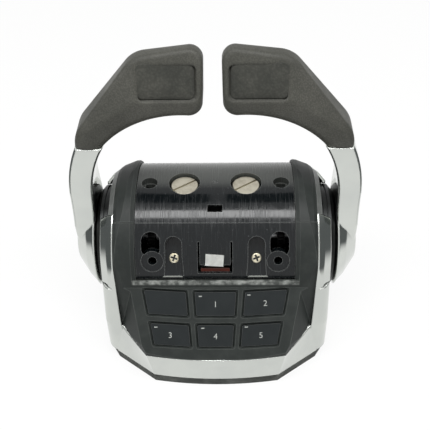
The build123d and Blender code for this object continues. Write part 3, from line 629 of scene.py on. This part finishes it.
class Stock(Enum):
    """Every finish of the head, by what it is used for."""

    CHROME_BODY = ChromePlate("chrome_plate_on_die_cast_zinc", "C8CBC6", 0.07, 1.0, clouded="C1C4C0")
    CHROME_LEVER = ChromePlate("chrome_plate_on_forged_lever", "CCCFCA", 0.05, 1.0, clouded="C5C8C4", edge_radius=2.6)
    CASING = MouldedAbs("spark_grained_black_abs", "1D211F", 0.50)
    HOUSING = PolishedAbs("polished_black_abs", "0B0F11", 0.12, 0.0, 0.1)
    KEYCAP = SatinAbs("satin_keycap_abs", "14191A", 0.36)
    GRIP = GrainedElastomer("soft_touch_grip_elastomer", "43433D", 0.48, grain=0.9, grain_depth=0.05)
    PAD = GrainedElastomer("leather_grain_pad_elastomer", "31322D", 0.44, grain=1.5, grain_depth=0.09, edge_radius=0.4)
    GASKET = SealRubber("sealing_rubber", "383A37", 0.7)
    DISC_LEFT = TurnedSteel("turned_plated_steel_left", "BDB8A8", 0.36, 1.0, centre=-21.7)
    DISC_RIGHT = TurnedSteel("turned_plated_steel_right", "BDB8A8", 0.36, 1.0, centre=21.7)
    SCREW = PlatedSteel("zinc_plated_screw_steel", "D8D2BC", 0.42, 0.85)
    CAP = SatinPaint("stoved_grey_paint", "5C5E5C", 0.36, 0.3, clouded="8A8C8A", rubbed="A4A6A4")
    NECK = MachinedMetal("black_anodised_aluminium", "242525", 0.34, 0.9, clouded="3A3B3B", grain=0.8)
    ALLOY = SatinPaint("black_coated_die_casting", "1B1C1B", 0.55)
    STEEL = MachinedMetal("machined_steel", "A8A9AA", 0.30, 1.0, clouded="7C7C7A", grain=0.4)
    BRONZE = MachinedMetal("sintered_bronze", "A97F45", 0.42, 1.0, clouded="7A5A30", grain=0.5)
    ACETAL = SatinAbs("black_acetal", "232423", 0.4)
    BOARD = PrintedFilm("circuit_board_lacquer", "1E5A36", 0.3)
    MAT = SealRubber("grey_silicone_mat", "7A7C7C", 0.6)
    STRIP = MouldedAbs("oxide_red_nylon", "6A3026", 0.5)
    # painted shade: a dark material for the screws' cross recesses, where shade falls
    PAINTED_RECESS_SHADE = SealRubber("painted_shade_in_the_cross_recess", "1A1A18", 0.8)
    # painted highlight: pale strips at the slots' feet that stand for the lamp's glint on their chamfers
    PAINTED_GLINT = PrintedFilm("painted_highlight_at_slot_foot", "9A9D98", 0.4)
    LABEL = PrintedFilm("white_polyester_label", "F4F5F1", 0.45)
    INK = PrintedFilm("pale_legend_ink", "9FA29E", 0.5)

    @property
    def material(self) -> Material:
        """The finish's material."""
        return self.value.material()


# ---- sub-assemblies
@dataclass
class SubAssembly:
    """A group of pieces: the CAD nodes it dresses and the pieces it adds."""

    nodes: dict[str, bpy.types.Object]

    def finish_nodes(self, stock: Stock, *names: str) -> None:
        """Give CAD nodes a finish.

        Args:
            stock: the finish.
            names: the nodes' names.
        """
        for name in names:
            materials = self.nodes[name].data.materials
            materials.clear()
            materials.append(stock.material)
            log.info("%s is %s", name, stock.value.name)

    def pair(self, name: str) -> tuple[str, str]:
        """The left and right nodes of a piece."""
        return name + "_left", name + "_right"


@dataclass
class Casing(SubAssembly):
    """Chrome body, gasket, end caps and matte covers."""

    def build(self) -> None:
        """Dress the outer shells."""
        self.finish_nodes(Stock.CHROME_BODY, "chrome_body")
        self.finish_nodes(Stock.GASKET, "base_gasket")
        self.finish_nodes(Stock.CASING, "front_cover", "upper_cover")
        self.finish_nodes(Stock.CAP, *self.pair("end_cap"))


@dataclass
class InnerHousing(SubAssembly):
    """Gloss housing between the bands, with its screws, discs and label.

    The screw's profile, its recess and the taper of the painted glint at each slot's foot are shares of the radius,
    height and width.
    """

    barrel_radius: float = 51.0
    pivot_height: float = 65.0
    label_size: Pair = (12.6, 8.6)
    label_angle: float = 23.5
    label_turn: float = -4.0
    label_x: float = -0.4
    label_steps: int = 12
    film: float = 0.12
    film_body: float = 0.9
    screw_seat: Triple = (28.6, -41.44, 82.47)
    screw_lean: float = 45.0
    screw_turn: float = 20.0
    screw_radius: float = 3.6
    screw_height: float = 1.7
    screw_steps: int = 32
    screw_profile: tuple[Pair, ...] = ((1.0, 0.0), (1.0, 0.5), (0.9, 0.85), (0.74, 1.0))
    recess_reach: float = 0.68
    recess_half: float = 0.18
    recess_depth: float = 0.95
    recess_floor: float = 0.8
    # painted highlight: place, size, taper and lift of the pale glint strips at the slots' feet
    glint_x: float = 29.5
    glint_arc: float = 8.3
    glint_size: Pair = (14.4, 1.1)
    glint_taper: float = 0.42
    glint_lift: Pair = (-0.15, 0.06)

    def build(self) -> None:
        """Dress the housing, and add the blank label on its tongue, the screws and a painted highlight at each slot's
        foot.
        """
        self.finish_nodes(Stock.HOUSING, "center_upper", "center_lower")
        self.finish_nodes(Stock.DISC_LEFT, "adjuster_screw_left")
        self.finish_nodes(Stock.DISC_RIGHT, "adjuster_screw_right")
        self.finish_nodes(Stock.STRIP, "latch_strip")
        self.add_label()
        self.add_screws()
        self.add_painted_slot_glints()

    def on_barrel(self, x: float, arc: float, lift: float) -> Vector:
        """Point over the barrel, in metres.

        Args:
            x: across, in millimetres.
            arc: millimetres up the barrel from the front horizontal.
            lift: millimetres over its surface.

        Returns:
            The point.
        """
        angle = arc / self.barrel_radius
        radius = self.barrel_radius + lift
        return Vector((x, -radius * math.cos(angle), self.pivot_height + radius * math.sin(angle))) * MM

    def add_label(self) -> None:
        """Lay a blank label, bent over the tongue and a little askew."""
        width, height = self.label_size
        middle = math.radians(self.label_angle) * self.barrel_radius
        turn = math.radians(self.label_turn)
        form = bmesh.new()
        steps = self.label_steps
        grid = [[] for _ in range(steps + 1)]
        for i, row in enumerate(grid):
            for j in range(steps + 1):
                across, along = width * (i / steps - 0.5), height * (j / steps - 0.5)
                x = self.label_x + across * math.cos(turn) - along * math.sin(turn)
                arc = middle + across * math.sin(turn) + along * math.cos(turn)
                row.append(form.verts.new(self.on_barrel(x, arc, self.film)))
        for i in range(steps):
            for j in range(steps):
                form.faces.new((grid[i][j], grid[i + 1][j], grid[i + 1][j + 1], grid[i][j + 1]))
        bmesh.ops.solidify(form, geom=form.faces[:], thickness=self.film * self.film_body * MM)
        label = mesh_piece("blank_label", form, Stock.LABEL.material)
        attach(label, "head")

    def add_screws(self) -> None:
        """Stand two cross-head screws on the slots' sloping floors, in place of the plain ones."""
        form = bmesh.new()
        x, y, z = self.screw_seat
        for side in (-1, 1):
            stand = (Matrix.Translation(Vector((side * x, y, z)) * MM)
                     @ Matrix.Rotation(math.radians(self.screw_lean), 4, "X"))
            self.screw_head(form, stand @ Matrix.Rotation(math.radians(self.screw_turn * side), 4, "Z"))
        screws = mesh_piece("cross_head_screws", form, Stock.SCREW.material, smooth=False)
        # painted shade: the cross recesses take this second, dark material
        screws.data.materials.append(Stock.PAINTED_RECESS_SHADE.material)
        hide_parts("cover_screws")
        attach(screws, "head")

    def add_painted_slot_glints(self) -> None:
        """Add a pale strip at the foot of each screw slot: a painted highlight, the lamp's reflection in the
        upward-facing chamfer there.
        """
        width, height = self.glint_size
        corners = ((-0.5, -0.5), (0.5, -0.5), (self.glint_taper, 0.5), (-self.glint_taper, 0.5))
        for side, name in SIDES:
            form = bmesh.new()
            below, above = [[form.verts.new(self.on_barrel(side * self.glint_x + u * width, self.glint_arc + v * height,
                                                           lift)) for u, v in corners] for lift in self.glint_lift]
            form.faces.new(above)
            form.faces.new(list(reversed(below)))
            ring_faces(form, below, above)
            # painted highlight: a pale strip for the lamp's glint on the chamfer
            foot = mesh_piece(f"painted_glint_at_slot_foot_{name}", form, Stock.PAINTED_GLINT.material, smooth=False)
            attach(foot, "head")

    def screw_head(self, form: Form, stand: Matrix) -> None:
        """Add one screw head, rounded at its rim, with a cross recess whose faces carry painted shade.

        Args:
            form: the mesh it is added to.
            stand: where it stands, its axis along Z, in metres.
        """
        radius, height, around = self.screw_radius, self.screw_height, self.screw_steps
        arm, half, deep = radius * self.recess_reach, radius * self.recess_half, height * self.recess_depth
        rings = [(radius * share, height * rise) for share, rise in self.screw_profile]
        loops = [[form.verts.new(Vector((r * math.cos(2 * math.pi * i / around),
                                         r * math.sin(2 * math.pi * i / around), z)) * MM) for i in range(around)]
                 for r, z in rings]
        for low, high in zip(loops, loops[1:]):
            ring_faces(form, low, high)
        form.faces.new(list(reversed(loops[0])))
        outline = [(arm, -half), (arm, half), (half, half), (half, arm), (-half, arm), (-half, half),
                   (-arm, half), (-arm, -half), (-half, -half), (-half, -arm), (half, -arm), (half, -half)]
        inset = self.recess_floor
        upper = [form.verts.new(Vector((x, y, height)) * MM) for x, y in outline]
        floor = [form.verts.new(Vector((x * inset, y * inset, height - deep)) * MM) for x, y in outline]
        # painted shade: the recess's faces use the second, dark material
        for face in ring_faces(form, upper, floor) + [form.faces.new(floor)]:
            face.material_index = 1
        count = len(outline)
        rim = [form.edges.get((loops[-1][i], loops[-1][(i + 1) % around])) for i in range(around)]
        rim += [form.edges.get((upper[i], upper[(i + 1) % count])) for i in range(count)]
        bmesh.ops.triangle_fill(form, use_beauty=True, use_dissolve=False, edges=rim)
        made = [vert for loop in loops for vert in loop] + upper + floor
        bmesh.ops.transform(form, matrix=stand, verts=made)


@dataclass
class KeyPanel(SubAssembly):
    """Six keys: the first is plain, and the others have plain numerals and small indicator bars."""

    lip: Pair = (-54.0, 68.4)
    nose: Pair = (-90.2, 31.2)
    key_sink: float = 0.3
    ink: float = 0.06
    printed: tuple[int, ...] = (2, 3, 4, 5, 6)
    numeral_height: float = 4.2
    numeral_drop: float = 0.4
    type_scale: float = 1.35
    curve_steps: int = 4
    bar_size: Triple = (2.2, 0.7, 0.1)
    bar_bevel: float = 0.03
    bar_inset: Pair = (5.4, 5.4)
    bar_lift: float = 0.02

    def build(self) -> None:
        """Dress the keys and print them."""
        self.finish_nodes(Stock.KEYCAP, "key_1", *[f"key_{number}" for number in self.printed])
        self.finish_nodes(Stock.MAT, "key_mat")
        self.finish_nodes(Stock.BOARD, "key_board")
        for number in self.printed:
            self.add_numeral(number)
        for number in self.printed:
            self.add_indicator(number)

    def frame(self) -> Matrix:
        """The panel's own axes: X across, Y up the slope, Z out of it.

        Returns:
            The axes, from the lip's middle, in metres.
        """
        slope = math.atan2(self.lip[1] - self.nose[1], self.lip[0] - self.nose[0])
        up = Vector((0, math.cos(slope), math.sin(slope)))
        out = Vector((0, -math.sin(slope), math.cos(slope)))
        axes = Matrix((Vector((1, 0, 0)), up, out)).transposed().to_4x4()
        return Matrix.Translation(Vector((0, self.lip[0], self.lip[1])) * MM) @ axes

    def middle(self, number: int) -> Vector:
        """Middle of a key's face in panel axes.

        Args:
            number: the key.

        Returns:
            The point, in metres.
        """
        low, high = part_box(f"key_{number}")
        centre = self.frame().inverted() @ ((low + high) / 2)
        return Vector((centre.x, centre.y, -self.key_sink * MM))

    def add_numeral(self, number: int) -> None:
        """Print a key's plain numeral.

        Args:
            number: the key; its numeral is one less.
        """
        curve = bpy.data.curves.new(f"numeral_{number}", "FONT")
        curve.body = str(number - 1)
        curve.size = self.numeral_height * self.type_scale * MM
        curve.align_x, curve.align_y = "CENTER", "CENTER"
        curve.extrude = self.ink / 2 * MM
        curve.resolution_u = self.curve_steps
        curve.materials.append(Stock.INK.material)
        piece = bpy.data.objects.new(f"numeral_{number}", curve)
        bpy.context.scene.collection.objects.link(piece)
        place = self.middle(number) + Vector((0, -self.numeral_drop * MM, self.ink / 2 * MM))
        piece.matrix_world = self.frame() @ Matrix.Translation(place)
        bpy.context.view_layer.update()
        mesh = bpy.data.meshes.new_from_object(piece.evaluated_get(bpy.context.evaluated_depsgraph_get()))
        mesh.transform(piece.matrix_world)
        printed = bpy.data.objects.new(f"printed_numeral_{number}", mesh)
        bpy.context.scene.collection.objects.link(printed)
        bpy.data.objects.remove(piece)
        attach(printed, f"key_{number}")
        log.info("printed numeral on key %d", number)

    def add_indicator(self, number: int) -> None:
        """Add the small pale bar near a key's upper left corner.

        Args:
            number: the key.
        """
        low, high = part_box(f"key_{number}")
        half_x = (high.x - low.x) / 2
        in_x, in_y = self.bar_inset
        form = bmesh.new()
        bmesh.ops.create_cube(form, size=1.0)
        bmesh.ops.scale(form, vec=Vector(self.bar_size) * MM, verts=form.verts)
        bmesh.ops.bevel(form, geom=form.edges[:], offset=self.bar_bevel * MM, segments=1, affect="EDGES")
        place = self.middle(number) + Vector((-half_x + in_x * MM, in_y * MM, self.bar_lift * MM))
        form.transform(self.frame() @ Matrix.Translation(place))
        bar = mesh_piece(f"indicator_{number}", form, Stock.INK.material, smooth=False)
        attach(bar, f"key_{number}")


@dataclass
class Levers(SubAssembly):
    """Arms, grips, hub collars and what turns with them inside.

    The pad's face is laid in rings; each ring's share is of the way from its middle to its outline.
    """

    pad_origin: Triple = (0.0, -8.8, 188.5)
    pad_lean: float = 30.0
    pad_across: Pair = (11.4, 48.6)
    pad_along: Pair = (2.4, 24.4)
    pad_corner: float = 4.0
    pad_sink: float = 1.5
    pad_depth: float = 1.95
    pad_roll: float = 7.0
    pad_proud: float = 0.04
    pad_rim: float = 0.2
    pad_root: float = 0.9
    pad_rings: tuple[float, ...] = (0.15, 0.3, 0.45, 0.6, 0.7, 0.78, 0.85, 0.9, 0.94, 0.97, 1.0)
    corner_steps: int = 8

    def build(self) -> None:
        """Dress both levers and lay a soft pad on each grip."""
        self.finish_nodes(Stock.CHROME_LEVER, *self.pair("lever_arm"))
        self.finish_nodes(Stock.GRIP, *self.pair("grip"))
        for side, name in SIDES:
            self.add_pad(side, name)
        self.finish_nodes(Stock.NECK, *self.pair("hub_collar"))
        self.finish_nodes(Stock.STEEL, *self.pair("lever_shaft"), *self.pair("detent_wheel"),
                          *self.pair("friction_drum"))
        self.finish_nodes(Stock.ACETAL, *self.pair("sensor_gear"), *self.pair("sensor_pinion"))

    def pad_height(self, across: float, along: float) -> float:
        """Height of the pad's face over the grip's, in millimetres; it rolls down at the foot and inner end.

        Args:
            across: millimetres from the middle plane of the head.
            along: millimetres up the leaning face.

        Returns:
            The height.
        """
        foot = max(0.0, 1 - (along - self.pad_along[0]) / self.pad_roll)
        end = max(0.0, 1 - (across - self.pad_across[0]) / self.pad_roll)
        return self.pad_proud - self.pad_sink * min(1.0, foot ** 2 + end ** 2)

    def pad_outline(self) -> list[Pair]:
        """Outline of the pad's face, round at its corners.

        Returns:
            Its points, across and up the leaning face, in millimetres.
        """
        (left, right), (low, high) = self.pad_across, self.pad_along
        corner, steps = self.pad_corner, self.corner_steps
        outline = []
        for x, y, start in ((right - corner, high - corner, 0), (left + corner, high - corner, 90),
                            (left + corner, low + corner, 180), (right - corner, low + corner, 270)):
            for step in range(steps + 1):
                angle = math.radians(start + 90 * step / steps)
                outline.append((x + corner * math.cos(angle), y + corner * math.sin(angle)))
        return outline

    def add_pad(self, side: int, name: str) -> None:
        """Lay a soft pad, flush at its top and outer end, in place of the plain one.

        Args:
            side: -1 for the left lever and 1 for the right.
            name: the side's name.
        """
        lean = math.radians(self.pad_lean)
        up, out = Vector((0, math.sin(lean), math.cos(lean))), Vector((0, -math.cos(lean), math.sin(lean)))
        middle = (sum(self.pad_across) / 2, sum(self.pad_along) / 2)
        outline = self.pad_outline()
        form = bmesh.new()

        def spot(across: float, along: float, height: float) -> Vert:
            """A point of the pad, in the leaning face's own measures."""
            place = Vector(self.pad_origin) + up * along + out * height
            return form.verts.new(Vector((side * across, place.y, place.z)) * MM)

        def shrunk(share: float) -> list[Pair]:
            """The outline drawn in towards its middle."""
            return [(middle[0] + (x - middle[0]) * share, middle[1] + (y - middle[1]) * share) for x, y in outline]

        crown = spot(*middle, self.pad_height(*middle))
        loops = [[spot(*at, self.pad_height(*at)) for at in shrunk(share)] for share in self.pad_rings]
        root = shrunk(self.pad_root)
        loops.append([spot(*at, self.pad_height(*at) - self.pad_rim) for at in outline])
        loops.append([spot(*at, self.pad_height(*edge) - self.pad_rim) for at, edge in zip(root, outline)])
        loops.append([spot(*at, -self.pad_depth) for at in root])
        count = len(outline)
        for i in range(count):
            j = (i + 1) % count
            form.faces.new((crown, loops[0][i], loops[0][j]))
            for inner, outer in zip(loops, loops[1:]):
                form.faces.new((inner[i], outer[i], outer[j], inner[j]))
        form.faces.new(list(reversed(loops[-1])))
        for loop in loops[-4:]:
            for i in range(count):
                form.edges.get((loop[i], loop[(i + 1) % count])).smooth = False
        pad = mesh_piece(f"soft_pad_{name}", form, Stock.PAD.material)
        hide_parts(f"grip_pad_{name}")
        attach(pad, f"lever_{name}")


@dataclass
class Mechanism(SubAssembly):
    """What stays still inside: plate, frames, bushes, detents, shoes and sensors."""

    def build(self) -> None:
        """Dress the inner pieces."""
        self.finish_nodes(Stock.ALLOY, "base_plate", "bridge_plate", "center_block", *self.pair("side_frame"))
        self.finish_nodes(Stock.BRONZE, *self.pair("shaft_bush"), *self.pair("friction_shoe"))
        self.finish_nodes(Stock.STEEL, *self.pair("detent_plunger"), *self.pair("detent_roller"))
        self.finish_nodes(Stock.ACETAL, *self.pair("detent_block"))
        self.finish_nodes(Stock.CASING, *self.pair("position_sensor"))


# ---- studio
@dataclass(frozen=True)
class Lamp:
    """A soft rectangular lamp aimed at the head; its place and size are in metres."""

    name: str
    place: Triple
    size: Pair
    watts: float
    target: Triple = (0.0, 0.0, 0.08)

    def hang(self) -> None:
        """Hang the lamp in the scene."""
        data = bpy.data.lights.new(self.name, "AREA")
        data.shape = "RECTANGLE"
        data.size, data.size_y = self.size
        data.energy = self.watts
        lamp = bpy.data.objects.new(self.name, data)
        lamp.location = self.place
        aim = Vector(self.target) - Vector(self.place)
        lamp.rotation_euler = aim.to_track_quat("-Z", "Y").to_euler()
        bpy.context.scene.collection.objects.link(lamp)


@dataclass
class Studio:
    """Pale floor, soft lamps and the camera.

    The floor's, walls' and cards' sizes are in metres. One wide lamp hangs over the head, a little
    in front of it, and a weak one at each side.
    """

    pivot: Triple = (0.0, 0.0, 65.0)
    pitch: float = 42.0
    yaw: float = 2.0
    roll: float = -1.6
    distance: float = 560.0
    focal_pixels: float = 745.0
    pivot_pixel: Pair = (216.6, 235.0)
    sensor: float = 36.0
    clip: Pair = (0.01, 20.0)
    footprint: Pair = (58.0, 48.0)
    floor_colour: str = "F2F2F0"
    floor_reach: float = 3.0
    floor_glow: float = 0.88
    fill_colour: str = "F4F6F8"
    fill: float = 0.44
    wall_top: float = 0.5
    wall_dark: float = 0.45
    flag_span: Pair = (64.0, 128.0)
    flag_radius: float = 0.5
    flag_steps: int = 48
    ground_start: float = 0.24
    ground_dark: float = 0.40
    ground_lift: float = 0.002
    card_dark: str = "66696A"
    lamps: tuple[Lamp, ...] = (Lamp("ceiling_lamp", (0.0, -0.28, 1.3), (1.3, 0.26), 13),
                               Lamp("left_lamp", (-1.2, -0.3, 0.9), (0.6, 0.6), 5),
                               Lamp("right_lamp", (1.2, -0.3, 0.9), (0.6, 0.6), 5))

    def build(self) -> None:
        """Set up the floor, the light and the camera."""
        bpy.context.scene.view_settings.view_transform = "Standard"
        self.add_camera()
        self.add_floor()
        self.add_world()
        for lamp in self.lamps:
            lamp.hang()
        self.add_flags()

    def add_camera(self) -> None:
        """Stand the camera where the lever axis falls on its place in the picture."""
        pitch, yaw, roll = (math.radians(angle) for angle in (self.pitch, self.yaw, self.roll))
        forward = Vector((-math.sin(yaw) * math.cos(pitch), math.cos(yaw) * math.cos(pitch), -math.sin(pitch)))
        level_right = forward.cross(Vector((0, 0, 1))).normalized()
        level_up = level_right.cross(forward)
        right = math.cos(roll) * level_right + math.sin(roll) * level_up
        up = -math.sin(roll) * level_right + math.cos(roll) * level_up
        across = (self.pivot_pixel[0] - IMAGE / 2) / self.focal_pixels * self.distance
        above = -(self.pivot_pixel[1] - IMAGE / 2) / self.focal_pixels * self.distance
        place = (Vector(self.pivot) - (across * right + above * up + self.distance * forward)) * MM
        data = bpy.data.cameras.new("camera")
        data.sensor_width = self.sensor
        data.lens = self.focal_pixels * self.sensor / IMAGE
        data.clip_start, data.clip_end = self.clip
        camera = bpy.data.objects.new("camera", data)
        camera.matrix_world = Matrix.Translation(place) @ Matrix((right, up, -forward)).transposed().to_4x4()
        bpy.context.scene.collection.objects.link(camera)
        bpy.context.scene.camera = camera

    def ray_kinds(self, tree: Tree, *rays: str) -> Socket:
        """Factor that is 1 for rays of some kinds.

        Args:
            tree: the material's or world's nodes.
            rays: the kinds, as the light path's outputs are called.

        Returns:
            The factor's socket.
        """
        path = add_node(tree, "LightPath")
        shown = path.outputs[rays[0]]
        for ray in rays[1:]:
            shown = add_node(tree, "Math", (shown, path.outputs[ray]), operation="MAXIMUM").outputs[0]
        return shown

    def add_floor(self) -> None:
        """White table top that keeps the head's shadow and clips to white away from it."""
        material = bpy.data.materials.new("white_table_top")
        tree = empty_nodes(material)
        seen = self.ray_kinds(tree, "Is Camera Ray", "Is Glossy Ray")
        top = add_node(tree, "BsdfDiffuse", {"Color": linear(self.floor_colour)})
        glow = add_node(tree, "Emission", {"Color": WHITE, "Strength": 1.0})
        apart = add_node(tree, "SeparateXYZ", (add_node(tree, "TexCoord").outputs["Object"],))
        outside = []
        for axis, reach in zip("XY", self.footprint):
            size = add_node(tree, "Math", (apart.outputs[axis],), operation="ABSOLUTE").outputs[0]
            outside.append(add_node(tree, "Math", (size, reach * MM), operation="GREATER_THAN").outputs[0])
        open_floor = add_node(tree, "Math", tuple(outside), operation="MAXIMUM").outputs[0]
        bright = add_node(tree, "Math", (open_floor, self.floor_glow), operation="MULTIPLY").outputs[0]
        share = add_node(tree, "Math", (seen, bright), operation="MULTIPLY").outputs[0]
        mixed = add_node(tree, "MixShader", (share, top.outputs[0], glow.outputs[0]))
        add_node(tree, "OutputMaterial", {"Surface": mixed.outputs[0]})
        form = bmesh.new()
        bmesh.ops.create_grid(form, x_segments=1, y_segments=1, size=self.floor_reach)
        floor = mesh_piece("floor", form, material, smooth=False)

    def add_world(self) -> None:
        """Pale surroundings: white where they are seen, soft and even where they light the head."""
        world = bpy.data.worlds.new("surroundings")
        tree = empty_nodes(world)
        shown = self.ray_kinds(tree, "Is Camera Ray", "Is Glossy Ray", "Is Transmission Ray")
        fill = add_node(tree, "Background", {"Color": linear(self.fill_colour), "Strength": self.fill})
        white = add_node(tree, "Background", {"Color": WHITE, "Strength": 1.0})
        mixed = add_node(tree, "MixShader", (shown, fill.outputs[0], white.outputs[0]))
        add_node(tree, "OutputWorld", {"Surface": mixed.outputs[0]})
        bpy.context.scene.world = world

    def add_flags(self) -> None:
        """Dark cards at both sides, seen only in reflections, that give the chrome its contrast."""
        wall_card = self.fading_card("wall_card", "Z", self.wall_top * self.wall_dark, self.wall_top)
        ground_card = self.fading_card("ground_card", None, self.ground_dark, self.ground_start)
        foot, head = (self.flag_radius, 0.0), (self.flag_radius, self.wall_top)
        inner, outer = (self.ground_start, self.ground_lift), (self.flag_radius, self.ground_lift)
        for side, name in SIDES:
            wall = self.arc_strip(foot, head, side)
            ground = self.arc_strip(inner, outer, side)
            for kind, form, material in (("dark_wall", wall, wall_card), ("dark_ground", ground, ground_card)):
                card = mesh_piece(f"{kind}_{name}", form, material, smooth=False)
                card.visible_camera = card.visible_diffuse = False
                card.visible_shadow = card.visible_transmission = False

    def fading_card(self, name: str, axis: str | None, dark_at: float, white_at: float) -> Material:
        """A card that is dark at one place and fades to white at another.

        Args:
            name: the material's name.
            axis: the axis it fades along, or None to fade outward from the middle.
            dark_at: where it is darkest, in metres.
            white_at: where it is white, in metres.

        Returns:
            The card's material.
        """
        material = bpy.data.materials.new(name)
        tree = empty_nodes(material)
        place = add_node(tree, "TexCoord").outputs["Object"]
        if axis:
            along = add_node(tree, "SeparateXYZ", (place,)).outputs[axis]
        else:
            along = add_node(tree, "VectorMath", (place,), operation="LENGTH").outputs["Value"]
        fade = add_node(tree, "MapRange", (along, dark_at, white_at), interpolation_type="SMOOTHSTEP").outputs[0]
        colour = add_node(tree, "Mix", {0: fade, 6: linear(self.card_dark), 7: WHITE}, data_type="RGBA").outputs[2]
        glow = add_node(tree, "Emission", {"Color": colour, "Strength": 1.0})
        add_node(tree, "OutputMaterial", {"Surface": glow.outputs[0]})
        return material

    def arc_strip(self, start: Pair, end: Pair, side: int) -> Form:
        """A strip swept round the vertical axis, over the cards' span.

        Args:
            start: radius and height of one edge, in metres.
            end: radius and height of the other.
            side: -1 for the left of the head and 1 for the right.

        Returns:
            The strip's mesh.
        """
        form = bmesh.new()
        near, far = (side * degrees for degrees in self.flag_span)
        rows = []
        for i in range(self.flag_steps + 1):
            angle = math.radians(-90 + near + (far - near) * i / self.flag_steps)
            rows.append([form.verts.new((r * math.cos(angle), r * math.sin(angle), z)) for r, z in (start, end)])
        for first, second in zip(rows, rows[1:]):
            form.faces.new((first[0], second[0], second[1], first[1]))
        return form


def main() -> None:
    """Build every sub-assembly in order."""
    logging.basicConfig(level=logging.INFO, format="%(name)s: %(message)s")
    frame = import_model()
    Studio().build()
    for assembly in (Casing, InnerHousing, KeyPanel, Levers, Mechanism):
        assembly(frame["nodes"]).build()
        log.info("%s is built", assembly.__name__)


if __name__ == "__main__":
    main()
